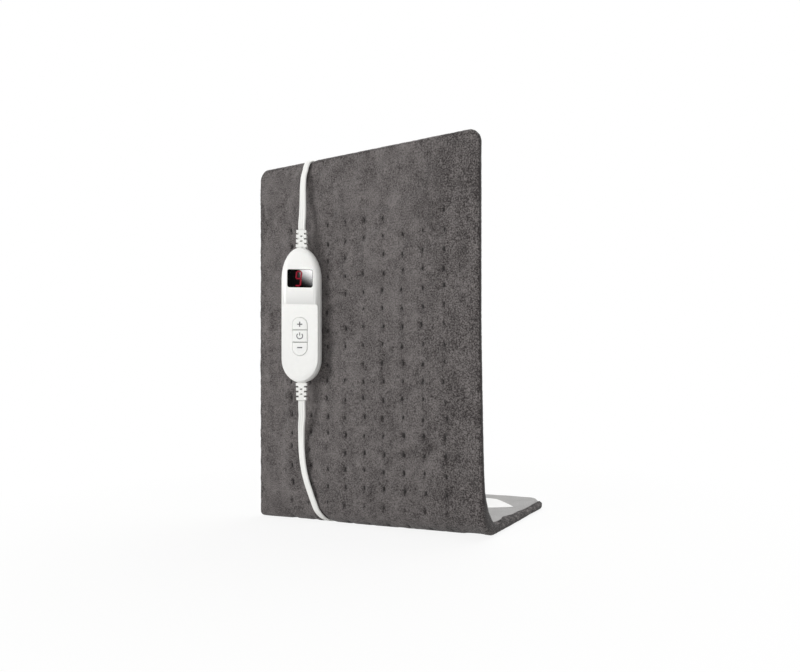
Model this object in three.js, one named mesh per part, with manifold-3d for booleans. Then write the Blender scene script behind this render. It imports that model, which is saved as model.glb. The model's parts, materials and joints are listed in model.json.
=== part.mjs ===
// Heating pad with a hand controller, standing as an L on its own foot. Millimetres, +Z up.
// The panel's plush face looks along -Y, the foot runs back along +Y, and the controller hangs
// on its lead in front of the panel, turned a little towards +X.
import * as THREE from 'three';
import { mergeVertices } from 'three/addons/utils/BufferGeometryUtils.js';
import Module from 'manifold-3d';

const wasm = await Module();
wasm.setup();

// Clearances
const GAP = 0.3;                      // between pieces that touch or seat
const KEY_CLEARANCE = 0.35;           // round the keys, which slide
const HOLE_CLEARANCE = 0.3;           // round screws, pins and plungers
const LAP = 1;                        // how far shapes that are joined or cut reach into each other

// Pad, as cut: its length is measured along the middle of its thickness
const PAD_WIDTH = 305;
const PAD_LENGTH = 610;
const PAD_THICKNESS = 10;
const PAD_CORNER_RADIUS = 15;
const BEND_RADIUS = 22;               // outside of the bend between panel and foot
const FOOT_DEPTH = 202;               // from the panel's face to the foot's back edge
const BEND_STEPS = 3;
const FRONT_COVER_THICKNESS = 5.2;
const BACK_COVER_SKIN = 2.1;
const EDGE_ROUND = 2.5;               // how far in from the edge a cover's face begins
const EDGE_DROP = 0.9;                // how far the cover falls away there

// Sewn tufts
const TUFT_PITCH_ACROSS = 25.6;
const TUFT_PITCH_ALONG = 20;
const TUFT_SIDE_MARGIN = 48;          // least distance from the pad's side to a tuft
const TUFT_FIRST_ROW = 80;            // below the top edge
const TUFT_FIELD_SHIFT = 6.5;         // the field sits this far right of the middle
const TUFT_DEPTH = 2.0;
const TUFT_LIP_DEPTH = 0.35;
const TUFT_LIP_ACROSS = 5.5;
const TUFT_LIP_ALONG = 6.5;

// Layers inside the pad
const POCKET_INSET = 9;               // the covers are sewn together outside this
const HEATING_WIRE_DIAMETER = 1.2;
const FELT_THICKNESS = 0.6;
const FELT_INSET = 12;
const FELT_TOP = 78;                  // below the pad's top edge
const WIRE_TURN_TOP = 92;
const WIRE_LEAD_ROW = 82;
const WIRE_END_INSET = 22;            // from the foot's back edge
const THERMAL_FUSE_DIAMETER = 1.6;
const THERMAL_FUSE_LENGTH = 10;
const WIRE_SIDES = 5;
const WIRE_TURN_STEPS = 4;

// Socket on the back of the panel, with its mouth down
const SOCKET_X = -26;
const SOCKET_TOP = 32;                // below the pad's top edge
const SOCKET_WIDTH = 40;
const SOCKET_HEIGHT = 30;
const SOCKET_STANDOUT = 10;           // beyond the back cover
const SOCKET_WALL = 2;
const SOCKET_END_WALL = 7;
const SOCKET_FLANGE = 4;              // the rim under the back cover
const SOCKET_FLANGE_THICKNESS = 0.8;
const SOCKET_CORNER = 3;
const PIN_COUNT = 3;
const PIN_PITCH = 8;
const PIN_DIAMETER = 1.8;
const PIN_REACH = 18;                 // into the plug
const PLUG_GRIP_HEIGHT = 24;
const PLUG_GRIP_WIDTH = 36;
const CONNECTOR_RELIEF_LENGTH = 18;

// Controller
const CONTROLLER_X = -66;
const CONTROLLER_Z = 240.75;
const CONTROLLER_TURN = THREE.MathUtils.degToRad(30);
const CONTROLLER_LENGTH = 154;
const CONTROLLER_WIDTH = 43.5;
const TOP_END = 36;                   // length of the rounded upper end, a half ellipse
const BOTTOM_END = 27;
const FRONT_DEPTH = 9.4;              // parting line to the front face
const REAR_DEPTH = 9.8;
const SHELL_STRAIGHT = 2.4;           // straight part of the side, beside the parting line
const SHELL_EDGE = 7;                 // the edge rounds over this width
const SHELL_WALL = 2;
const PLATE_RISE = 0.7;               // the key plate stands proud of the face
const PLATE_INSET = 1.8;
const PLATE_LENGTH = 88.8;            // from the controller's lower end
const PLATE_CORNER = 3;
const END_STEPS = 16;
const EDGE_STEPS = 5;
const CORNER_STEPS = 4;

// Display
const LENS_WIDTH = 28;
const LENS_HEIGHT = 20.5;
const LENS_CORNER = 2.5;
const LENS_FROM_TOP = 36.3;           // the lens's middle below the controller's upper end
const LENS_RECESS = 0.2;
const LENS_FLANGE = 1.5;
const FLANGE_THICKNESS = 1;
const DISPLAY_WIDTH = 25;
const DISPLAY_HEIGHT = 16;

// Keys
const KEY_OPENING_WIDTH = 17;
const KEY_OPENING_HEIGHT = 43.7;
const KEYS_FROM_BOTTOM = 52.3;        // the opening's middle above the controller's lower end
const KEY_SPLIT_OFFSETS = [7.25, -6.55];
const KEY_OFFSETS = { plus: 13.55, power: 0.35, minus: -12.65 };
const KEY_RISE = 0.6;                 // above the key plate, and the travel
const KEY_BEVEL = 0.4;
const KEY_STEPS = 8;
const KEY_FLANGE = 1.5;
const KEY_STEM_DIAMETER = 4;
const KEY_STEM_LENGTH = 1.8;
const SWITCH_SIZE = 6;
const SWITCH_HEIGHT = 3.2;
const PLUNGER_DIAMETER = 3.2;
const PLUNGER_DIP = 0.9;              // how deep the plunger stands in its switch at rest
const SWITCH_WELL_DEPTH = 2;

// Circuit board and its fastenings
const BOARD_FRONT = 1;                // behind the parting line
const BOARD_THICKNESS = 1.6;
const BOARD_SIDE_CLEARANCE = 2.6;
const BOARD_END_DISTANCE = 16;        // from the controller's ends
const SCREW_END_DISTANCE = 19.5;
const SCREW_SIDE_DISTANCE = 9;        // the lower pair, from the controller's sides
const SCREW_CORE_CLEARANCE = 1.3;     // between the upper bosses and the lead's cores
const SCREW_SHANK = 2.2;
const SCREW_SIDES = 8;
const SCREW_HEAD = 4.6;
const SCREW_HEAD_HEIGHT = 1.6;
const SCREW_GRIP = 5.2;               // length in the front boss
const BOSS_DIAMETER = 5.6;
const POST_DIAMETER = 7.4;
const CHIP_SIZE = 9;
const CHIP_HEIGHT = 1.8;
const CHIP_Z = 12;
const FILM_CAPACITOR = { x: -6, z: -34, width: 10, height: 15 };
const CAN_CAPACITOR = { x: 7, z: -35.5, height: 13 };
const CAN_SIDES = 10;
const TRIAC = { z: 18.5, width: 10, height: 8 };
const TRIAC_TAB = { z: 22, height: 15, thickness: 1.3 };
const MAINS_FUSE = { x: 8, z: -10, length: 12, diameter: 3.6 };
const COMPONENT_CORNER = 0.6;

// Strain reliefs of the controller
const RELIEF_LENGTH = 19.5;
const RELIEF_ROOT_WIDTH = 12;
const RELIEF_TIP_WIDTH = 10.8;
const RELIEF_THICKNESS = 7;
const RELIEF_NECK_WIDTH = 9.4;
const RELIEF_NECK_THICKNESS = 4.8;
const RELIEF_FLANGE_WIDTH = 14;
const RELIEF_FLANGE_THICKNESS = 2.6;
const RELIEF_RUNGS = 3;
const RELIEF_NOTCH_DEPTH = 2.6;
const RELIEF_NOTCH_HEIGHT = 2;
const RELIEF_SLOT_HEIGHT = 1.4;
const RELIEF_BEVEL = 0.8;

// Flat three-core lead
const LEAD_WIDTH = 8;
const LEAD_THICKNESS = 3;
const LEAD_END_STEPS = 4;
const GROOVE_CLEARANCE = 0.6;         // pressed into the plush round the lead
const GROOVE_END_STEPS = 3;
const CORE_DIAMETER = 1.4;
const CORE_SIDES = 6;
const CORE_PITCH = 2.6;
const CORE_FAN = 1.6;                 // how far the cores spread on the board, as a multiple of their pitch
const CORE_STRAIGHT = 3;
const CORE_LAP = 5;                   // length soldered to the board

// Coil of the mains lead, lying on its edge behind the foot
const COIL_START = new THREE.Vector3(-50, 268, 5.7);
const COIL_RADIUS = 48;               // of the outermost turn's middle
const COIL_PITCH = 3.7;
const COIL_LAYER = 8.6;
const COIL_TURNS = 5.25;
const COIL_CLIMB_TURNS = 0.5;
const COIL_STEPS = 24;
const TIE_CLEARANCE = 0.45;
const TIE_THICKNESS = 1.1;
const TIE_WIDTH = 11;

// Mains plug
const PLUG_LENGTH = 30;
const PLUG_WIDTH = 25;
const PLUG_THICKNESS = 15;
const PLUG_TAIL_WIDTH = 13;
const PLUG_TAIL_THICKNESS = 9;
const PLUG_SHOULDER = { distance: 3.6, width: 20, thickness: 13 };
const PLUG_GRIP_START = 12;           // where the plug has its full width
const PLUG_EDGE = 2;                  // length of the edge round the front, and how far it draws in
const PLUG_EDGE_INSET = 1.5;
const PLUG_RELIEF_LENGTH = 22;
const PLUG_RELIEF_WALL = 1;
const PLUG_RIBS = 5;
const PLUG_RIB_DEPTH = 1.2;
const BLADE_PITCH = 12.7;
const BLADE_WIDTH = 6.35;
const BLADE_THICKNESS = 1.52;
const BLADE_LENGTH = 17.5;
const BLADE_ROOT = 6;                 // inside the plug

// Routes of the free leads: x, y, z, then the angles that turn the flat side's direction from +X:
// about Z, and up from the floor
const PAD_LEAD_ROUTE = [
  [-67, -15.2, 352, 27, 0], [-68.6, -12.8, 364, 19, 0], [-71, -10, 378, 10, 0],
  [-73.6, -6.9, 394, 3, 0], [-74.6, -4.5, 408, 0, 0], [-73.4, -3.3, 416, 0, 0],
  [-72.4, -2.8, 421.5, 0, 0], [-71.4, -0.4, 426.4, 0, 0], [-70.4, 5, 428.7, 0, 0],
  [-69.4, 10.4, 426.4, 0, 0], [-68.6, 12.9, 421.5, 0, 0], [-67.8, 12.8, 414, 0, 0],
  [-66.4, 12.4, 396, 6, 0], [-65.2, 12.6, 370, 18, 0], [-64.4, 13.2, 335, 36, 0],
  [-64, 13.9, 295, 54, 0], [-64, 14.5, 250, 72, 0], [-64, 14.8, 200, 86, 0],
  [-64, 14.8, 150, 90, 0], [-64, 14.8, 110, 90, 0], [-61.5, 14.8, 100.5, 90, 0],
  [-54.5, 14.8, 93.5, 90, 0], [-45, 14.8, 91, 90, 0], [-35.5, 14.8, 93.5, 90, 0],
  [-28.5, 14.8, 100.5, 90, 0], [-26, 14.8, 110, 90, 0], [-26, 14.8, 150, 86, 0],
  [-26, 14.9, 195, 64, 0], [-26, 15, 240, 36, 0], [-26, 15.1, 280, 12, 0], [-26, 15.1, 305, 0, 0],
];
const MAINS_LEAD_ROUTE = [
  [-68.2, -13.6, 126, 22, 0], [-72.6, -8.6, 115, 11, 0],
  [-76.4, -4.4, 103, 4, 0], [-78, -2.3, 90, 0, 0], [-77.2, -1.95, 76, 0, 0],
  [-75.2, -1.95, 62, 0, 0], [-72, -1.95, 49, 0, 0], [-68, -1.95, 37.5, 0, 0],
  [-63.6, -1.8, 26, 0, 0], [-59, -0.6, 14.8, 0, 0], [-55.2, 4.1, 7.5, 0, 0],
  [-52.2, 11.4, 2.9, 0, 0], [-50.6, 19, 1.7, 0, 0], [-50, 30, 1.7, 0, 0],
  [-50, 60, 1.7, 0, 0], [-50, 110, 1.7, 0, 0], [-50, 160, 1.7, 0, 0],
  [-50, 204, 1.7, 0, 8], [-50, 218, 2.6, 0, 30], [-50, 234, 4, 0, 56], [-50, 250, 5.2, 0, 80],
];
const PLUG_TAIL_ROUTE = [
  [-118, 315.2, 13.6, 180, 84], [-136, 310, 11.4, 198, 66], [-151, 300, 9.2, 216, 42],
  [-161, 287, 7.9, 246, 18], [-165.2, 274, 7.6, 262, 4],
];
const PLUG_POSITION = new THREE.Vector3(-166, 262, 7.6);   // where the lead enters its relief

// Plain helpers

function vector(x, y, z) {
  return new THREE.Vector3(x, y, z);
}

// A geometry from points and triangles, turned so that its faces point outwards
function closedGeometry(points, triangles) {
  const edgeA = vector();
  let volume = 0;
  for (const [a, b, c] of triangles) {
    volume += points[a].dot(edgeA.crossVectors(points[b], points[c]));
  }
  const faces = volume < 0 ? triangles.map(([a, b, c]) => [a, c, b]) : triangles;
  const geometry = new THREE.BufferGeometry().setFromPoints(points);
  geometry.setIndex(faces.flat());
  return geometry;
}

function solidOf(geometry) {
  const bare = geometry.clone();
  bare.deleteAttribute('normal');
  bare.deleteAttribute('uv');
  const merged = mergeVertices(bare, 1e-4);
  return new wasm.Manifold(new wasm.Mesh({
    numProp: 3,
    vertProperties: new Float32Array(merged.attributes.position.array),
    triVerts: new Uint32Array(merged.index.array),
  }));
}

function geometryOf(solid) {
  const mesh = solid.getMesh();
  const geometry = new THREE.BufferGeometry();
  geometry.setAttribute('position', new THREE.BufferAttribute(mesh.vertProperties, 3));
  geometry.setIndex(new THREE.BufferAttribute(mesh.triVerts, 1));
  return geometry;
}

function join(first, ...others) {
  return geometryOf(others.reduce((sum, other) => sum.add(solidOf(other)), solidOf(first)));
}

function cut(body, ...tools) {
  return geometryOf(tools.reduce((rest, tool) => rest.subtract(solidOf(tool)), solidOf(body)));
}

// A skin through rings of equally many points, closed by a fan at each end
function loft(rings) {
  const count = rings[0].length;
  const triangles = [];
  for (let ring = 0; ring + 1 < rings.length; ring += 1) {
    for (let k = 0; k < count; k += 1) {
      const a = ring * count + k;
      const b = ring * count + ((k + 1) % count);
      triangles.push([a, b, b + count], [a, b + count, a + count]);
    }
  }
  const last = (rings.length - 1) * count;
  for (let k = 1; k + 1 < count; k += 1) {
    triangles.push([0, k + 1, k], [last, last + k, last + k + 1]);
  }
  return closedGeometry(rings.flat(), triangles);
}

// A shape drawn in x and z, from the depth y = front to y = back
function slab(shape, front, back, bevel = 0, curveSegments = 4) {
  const geometry = new THREE.ExtrudeGeometry(shape, {
    depth: back - front - 2 * bevel,
    bevelEnabled: bevel > 0,
    bevelThickness: bevel,
    bevelSize: bevel,
    bevelOffset: -bevel,
    bevelSegments: 1,
    curveSegments,
  });
  return geometry.rotateX(Math.PI / 2).translate(0, back - bevel, 0);
}

function roundedRectangle(x, z, width, height, radius) {
  const [right, top, r] = [x + width / 2, z + height / 2, radius];
  const [left, bottom] = [x - width / 2, z - height / 2];
  const shape = new THREE.Shape();
  shape.absarc(right - r, top - r, r, 0, Math.PI / 2);
  shape.absarc(left + r, top - r, r, Math.PI / 2, Math.PI);
  shape.absarc(left + r, bottom + r, r, Math.PI, 1.5 * Math.PI);
  shape.absarc(right - r, bottom + r, r, 1.5 * Math.PI, 2 * Math.PI);
  return shape;
}

function box(x, y, z, width, depth, height) {
  return new THREE.BoxGeometry(width, depth, height).translate(x, y, z);
}

// A round bar along y
function bar(x, z, front, back, diameter, sides = 10) {
  const geometry = new THREE.CylinderGeometry(diameter / 2, diameter / 2, back - front, sides);
  return geometry.translate(x, (front + back) / 2, z);
}

// A round bar along z
function post(x, y, bottom, top, diameter, sides = 8) {
  const geometry = new THREE.CylinderGeometry(diameter / 2, diameter / 2, top - bottom, sides);
  return geometry.rotateX(Math.PI / 2).translate(x, y, (bottom + top) / 2);
}

// A section carried along points, its first axis kept to each point's wide direction
function sweep(points, wides, section) {
  const rings = points.map((point, k) => {
    const before = points[Math.max(k - 1, 0)];
    const after = points[Math.min(k + 1, points.length - 1)];
    const along = after.clone().sub(before).normalize();
    const wide = wides[k].clone().addScaledVector(along, -wides[k].dot(along)).normalize();
    const thin = along.clone().cross(wide);
    return section.map(([a, b]) => point.clone().addScaledVector(wide, a).addScaledVector(thin, b));
  });
  return loft(rings);
}

// A flat lead's section: straight sides and round ends
function flatSection(width, thickness, steps) {
  const radius = thickness / 2;
  const reach = width / 2 - radius;
  const points = [];
  for (const side of [1, -1]) {
    for (let k = 0; k <= steps; k += 1) {
      const angle = Math.PI * (k / steps - 0.5) * side;
      points.push([side * (reach + radius * Math.cos(angle)), radius * Math.sin(angle)]);
    }
  }
  return points;
}

function roundSection(diameter, sides) {
  return Array.from({ length: sides }, (_, k) => {
    const angle = (2 * Math.PI * k) / sides;
    return [(diameter / 2) * Math.cos(angle), (diameter / 2) * Math.sin(angle)];
  });
}

function routePoints(route) {
  return route.map(([x, y, z]) => vector(x, y, z));
}

function routeWides(route) {
  return route.map(([, , , turn, tilt]) => {
    const [a, b] = [THREE.MathUtils.degToRad(turn), THREE.MathUtils.degToRad(tilt)];
    return vector(Math.cos(b) * Math.cos(a), Math.cos(b) * Math.sin(a), Math.sin(b));
  });
}

// Assembly: one group in the pad's own coordinates, one turned group for the controller

const assembly = new THREE.Group();
const unit = new THREE.Group();          // the pad and the controller
const leads = new THREE.Group();         // the free leads and what is on them
const controller = new THREE.Group();
controller.rotation.z = CONTROLLER_TURN;
unit.add(controller);
assembly.add(unit, leads);

const FINISHES = {
  plush: [0x615d5c, 0.95, 0], flannel: [0xa6a5a4, 0.95, 0], felt: [0xd9d4c8, 1, 0],
  silicone: [0xb9552f, 0.6, 0], whitePlastic: [0xeeeeec, 0.4, 0], keyPlastic: [0xe6e6e4, 0.45, 0],
  smokedLens: [0x0b0b0c, 0.08, 0], darkPlastic: [0x1c1c1e, 0.5, 0], boardGreen: [0x2f6b3c, 0.5, 0],
  brass: [0xc9a24a, 0.3, 1], steel: [0xb5b6b8, 0.3, 1], leadWhite: [0xe9e9e7, 0.45, 0],
  capacitorYellow: [0xc9a13c, 0.5, 0], capacitorSleeve: [0x26324a, 0.5, 0], glass: [0xcfd6d6, 0.1, 0],
};

function piece(name, geometry, finish, parent) {
  const [color, roughness, metalness] = FINISHES[finish];
  const material = new THREE.MeshStandardMaterial({ color, roughness, metalness });
  const mesh = new THREE.Mesh(geometry, material);
  mesh.name = name;
  parent.add(mesh);
  return mesh;
}

// The pad's own coordinates: u across, s along its length from the top edge, n in from the plush face

const MID_RADIUS = BEND_RADIUS - PAD_THICKNESS / 2;
const BEND_ARC = (MID_RADIUS * Math.PI) / 2;
const PANEL_RUN = PAD_LENGTH - BEND_ARC - (FOOT_DEPTH - BEND_RADIUS);
const PANEL_HEIGHT = PANEL_RUN + BEND_RADIUS;
const BEND_ROWS = Array.from({ length: BEND_STEPS + 1 }, (_, k) => PANEL_RUN + BEND_ARC * (k / BEND_STEPS));

function padPoint(u, s, n) {
  if (s <= PANEL_RUN) {
    return vector(u, n, PANEL_HEIGHT - s);
  }
  const turn = (s - PANEL_RUN) / MID_RADIUS;
  if (turn >= Math.PI / 2) {
    return vector(u, BEND_RADIUS + s - PANEL_RUN - BEND_ARC, n);
  }
  const radius = BEND_RADIUS - n;
  return vector(u, BEND_RADIUS - radius * Math.cos(turn), BEND_RADIUS - radius * Math.sin(turn));
}

// Half the pad's width at s, with its rounded corners
function halfWidthAt(s) {
  const rise = Math.max(PAD_CORNER_RADIUS - Math.min(s, PAD_LENGTH - s), 0);
  return PAD_WIDTH / 2 - PAD_CORNER_RADIUS + Math.sqrt(PAD_CORNER_RADIUS ** 2 - rise ** 2);
}

// A closed block in the pad's coordinates, following the bend
function padBlock(u, s, n) {
  const rows = [s[0], ...BEND_ROWS.filter((row) => row > s[0] && row < s[1]), s[1]];
  return loft(rows.map((row) => [
    padPoint(u[0], row, n[0]), padPoint(u[1], row, n[0]),
    padPoint(u[1], row, n[1]), padPoint(u[0], row, n[1]),
  ]));
}

// One cover: a face that rounds over at the edge down to the seam, and a flat inner side at the seam.
// Cells between neighbouring crown columns and rows hold a sewn tuft.
function padCover(face, seam, crownColumns, crownRows, otherRows) {
  const inward = Math.sign(seam - face);
  const edgeRows = [0, EDGE_ROUND, PAD_CORNER_RADIUS / 2, PAD_CORNER_RADIUS];
  const rows = [...edgeRows, ...crownRows, ...otherRows, ...edgeRows.map((s) => PAD_LENGTH - s)];
  rows.sort((a, b) => a - b);
  const last = rows.length - 1;
  const columnCount = crownColumns.length + 4;
  const points = [];
  rows.forEach((s, row) => {
    const half = halfWidthAt(s);
    const across = [-half, EDGE_ROUND - half, ...crownColumns, half - EDGE_ROUND, half];
    across.forEach((u, column) => {
      const onEdge = row === 0 || row === last || column === 0 || column === columnCount - 1;
      const byEdge = row === 1 || row === last - 1 || column === 1 || column === columnCount - 2;
      const depth = byEdge ? face + inward * EDGE_DROP : face;
      points.push(padPoint(u, s, onEdge ? seam : depth));
    });
  });
  const at = (row, column) => row * columnCount + column;
  const triangles = [];
  const addQuad = (a, b, c, d) => triangles.push([a, b, c], [a, c, d]);
  const inTuftField = (row, column) => column >= 2 && column < columnCount - 3
    && rows[row] >= crownRows[0] && rows[row] < crownRows[crownRows.length - 1];
  const addTuft = (row, column) => {
    const corners = [at(row, column), at(row, column + 1), at(row + 1, column + 1), at(row + 1, column)];
    const u = (crownColumns[column - 2] + crownColumns[column - 1]) / 2;
    const s = (rows[row] + rows[row + 1]) / 2;
    const lip = points.length;
    for (const [a, b] of [[-1, -1], [1, -1], [1, 1], [-1, 1]]) {
      points.push(padPoint(u + a * TUFT_LIP_ACROSS, s + b * TUFT_LIP_ALONG, face + inward * TUFT_LIP_DEPTH));
    }
    points.push(padPoint(u, s, face + inward * TUFT_DEPTH));
    for (let k = 0; k < 4; k += 1) {
      const next = (k + 1) % 4;
      addQuad(corners[k], corners[next], lip + next, lip + k);
      triangles.push([lip + k, lip + next, lip + 4]);
    }
  };
  for (let row = 0; row < last; row += 1) {
    for (let column = 0; column + 1 < columnCount; column += 1) {
      if (inTuftField(row, column)) {
        addTuft(row, column);
      } else {
        addQuad(at(row, column), at(row, column + 1), at(row + 1, column + 1), at(row + 1, column));
      }
    }
  }
  const right = columnCount - 1;
  for (let row = 1; row + 1 < last; row += 1) {
    addQuad(at(row, 0), at(row + 1, 0), at(row + 1, right), at(row, right));
  }
  for (let column = 0; column < right; column += 1) {
    triangles.push([at(1, 0), at(0, column + 1), at(0, column)]);
    triangles.push([at(last - 1, 0), at(last, column), at(last, column + 1)]);
  }
  triangles.push([at(1, 0), at(1, right), at(0, right)]);
  triangles.push([at(last - 1, 0), at(last, right), at(last - 1, right)]);
  return closedGeometry(points, triangles);
}

// Sizes that follow from the layers
const BACK_COVER_SEAM = FRONT_COVER_THICKNESS + GAP;
const POCKET_TOP = PAD_THICKNESS - BACK_COVER_SKIN;
const FELT_BACK = POCKET_TOP - GAP;
const FELT_FRONT = FELT_BACK - FELT_THICKNESS;
const WIRE_DEPTH = FRONT_COVER_THICKNESS + GAP + HEATING_WIRE_DIAMETER / 2;

const TUFT_COLUMNS = Math.floor((PAD_WIDTH - 2 * TUFT_SIDE_MARGIN) / TUFT_PITCH_ACROSS) + 1;
const CROWN_COLUMNS = Array.from({ length: TUFT_COLUMNS + 1 }, (_, k) => (
  TUFT_FIELD_SHIFT + (k - TUFT_COLUMNS / 2) * TUFT_PITCH_ACROSS));
// Tufts are formed down to the bend, because the foot's underside is pressed flat
const TUFT_ROWS = Math.floor((PANEL_RUN - TUFT_FIRST_ROW) / TUFT_PITCH_ALONG + 0.5);
const CROWN_ROWS = Array.from({ length: TUFT_ROWS + 1 }, (_, k) => (
  TUFT_FIRST_ROW + (k - 0.5) * TUFT_PITCH_ALONG));

// Socket and connector on the back of the panel
const SOCKET_MOUTH = PANEL_HEIGHT - SOCKET_TOP - SOCKET_HEIGHT;
const SOCKET_Z = SOCKET_MOUTH + SOCKET_HEIGHT / 2;
const CONNECTOR_DEPTH = PAD_THICKNESS + SOCKET_STANDOUT / 2;
const PIN_SEAT = SOCKET_MOUTH + SOCKET_HEIGHT - SOCKET_END_WALL;
const PIN_TOP = PIN_SEAT + SOCKET_END_WALL - SOCKET_WALL - GAP;
const PIN_XS = Array.from({ length: PIN_COUNT }, (_, k) => SOCKET_X + (k - (PIN_COUNT - 1) / 2) * PIN_PITCH);

// Where the leads meet the controller's reliefs
const RELIEF_TIP = CONTROLLER_LENGTH / 2 + GAP + RELIEF_LENGTH;
const PARTING_MIDDLE = GAP / 2;

// Pad

function makeCovers(grooveLead) {
  const front = padCover(0, FRONT_COVER_THICKNESS, CROWN_COLUMNS, CROWN_ROWS, BEND_ROWS);
  piece('pad_front_cover', cut(front, grooveLead), 'plush', unit);

  const back = padCover(PAD_THICKNESS, BACK_COVER_SEAM, [], [], BEND_ROWS);
  const pocketHalf = PAD_WIDTH / 2 - POCKET_INSET;
  const pocket = padBlock(
    [-pocketHalf, pocketHalf], [POCKET_INSET, PAD_LENGTH - POCKET_INSET],
    [FRONT_COVER_THICKNESS, POCKET_TOP]);
  const opening = box(
    SOCKET_X, PAD_THICKNESS, SOCKET_Z, SOCKET_WIDTH + 2 * GAP, PAD_THICKNESS, SOCKET_HEIGHT + 2 * GAP);
  piece('pad_back_cover', cut(back, pocket, opening), 'flannel', unit);
}

function makeFelt() {
  const half = PAD_WIDTH / 2 - FELT_INSET;
  const felt = padBlock([-half, half], [FELT_TOP, PAD_LENGTH - FELT_INSET], [FELT_FRONT, FELT_BACK]);
  piece('wire_carrier_felt', felt, 'felt', unit);
}

// The heating wire runs up and down between the columns of tufts, with both ends at the socket
function makeHeatingWire() {
  const turn = TUFT_PITCH_ACROSS / 2;
  const bottom = PAD_LENGTH - WIRE_END_INSET - turn;
  const runs = CROWN_COLUMNS.slice(0, 2 * Math.floor(CROWN_COLUMNS.length / 2));
  const leadX = SOCKET_X - PIN_PITCH;
  const path = [[leadX, WIRE_LEAD_ROW - TUFT_PITCH_ALONG / 2], [leadX, WIRE_LEAD_ROW]];
  path.push([runs[0], WIRE_LEAD_ROW]);
  runs.forEach((u, k) => {
    const goesDown = k % 2 === 0;
    const rows = [WIRE_TURN_TOP + turn, ...BEND_ROWS, bottom];
    if (!goesDown) {
      rows.reverse();
    }
    rows.forEach((s) => path.push([u, s]));
    if (k + 1 < runs.length) {
      for (let step = 1; step < WIRE_TURN_STEPS; step += 1) {
        const angle = (Math.PI * step) / WIRE_TURN_STEPS;
        const reach = turn * Math.sin(angle) * (goesDown ? 1 : -1);
        path.push([u + turn * (1 - Math.cos(angle)), rows[rows.length - 1] + reach]);
      }
    }
  });
  path.push([runs[runs.length - 1], WIRE_LEAD_ROW], [SOCKET_X + PIN_PITCH, WIRE_LEAD_ROW]);
  path.push([SOCKET_X + PIN_PITCH, WIRE_LEAD_ROW - TUFT_PITCH_ALONG / 2]);
  const points = path.map(([u, s]) => padPoint(u, s, WIRE_DEPTH));
  const outward = path.map(([u, s], k) => padPoint(u, s, WIRE_DEPTH + 1).sub(points[k]));
  const wire = sweep(points, outward, roundSection(HEATING_WIRE_DIAMETER, WIRE_SIDES));
  piece('heating_wire', wire, 'silicone', unit);
}

function makeThermalFuse() {
  const middle = padPoint(0, FELT_TOP - GAP - THERMAL_FUSE_DIAMETER, 0);
  const depth = FRONT_COVER_THICKNESS + GAP + THERMAL_FUSE_DIAMETER / 2;
  const fuse = new THREE.CylinderGeometry(
    THERMAL_FUSE_DIAMETER / 2, THERMAL_FUSE_DIAMETER / 2, THERMAL_FUSE_LENGTH, WIRE_SIDES + 1);
  fuse.rotateZ(Math.PI / 2).translate(SOCKET_X + SOCKET_WIDTH, depth, middle.z);
  piece('thermal_fuse', fuse, 'steel', unit);
}

// Socket let into the back cover, its pins, and the lead's plug in it

function makeSocket() {
  const back = PAD_THICKNESS + SOCKET_STANDOUT;
  const flangeBack = POCKET_TOP - GAP;
  const flange = slab(
    roundedRectangle(
      SOCKET_X, SOCKET_Z, SOCKET_WIDTH + 2 * SOCKET_FLANGE, SOCKET_HEIGHT + 2 * SOCKET_FLANGE, SOCKET_CORNER),
    flangeBack - SOCKET_FLANGE_THICKNESS, flangeBack);
  const housing = slab(
    roundedRectangle(SOCKET_X, SOCKET_Z, SOCKET_WIDTH, SOCKET_HEIGHT, SOCKET_WALL),
    flangeBack - SOCKET_FLANGE_THICKNESS, back, SOCKET_FLANGE_THICKNESS / 2);
  const cavityDepth = SOCKET_HEIGHT - SOCKET_END_WALL;
  const cavity = box(
    SOCKET_X, CONNECTOR_DEPTH, SOCKET_MOUTH + (cavityDepth - LAP) / 2,
    SOCKET_WIDTH - 2 * SOCKET_WALL, SOCKET_STANDOUT - 2 * SOCKET_WALL, cavityDepth + LAP);
  const seats = PIN_XS.map((x) => post(
    x, CONNECTOR_DEPTH, PIN_SEAT, PIN_TOP + GAP, PIN_DIAMETER + 2 * HOLE_CLEARANCE));
  piece('pad_socket', cut(join(housing, flange), cavity, ...seats), 'whitePlastic', unit);
  PIN_XS.forEach((x, k) => {
    const pin = post(x, CONNECTOR_DEPTH, PIN_SEAT - PIN_REACH, PIN_TOP, PIN_DIAMETER);
    piece(`socket_pin_${k + 1}`, pin, 'brass', unit);
  });
}

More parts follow.
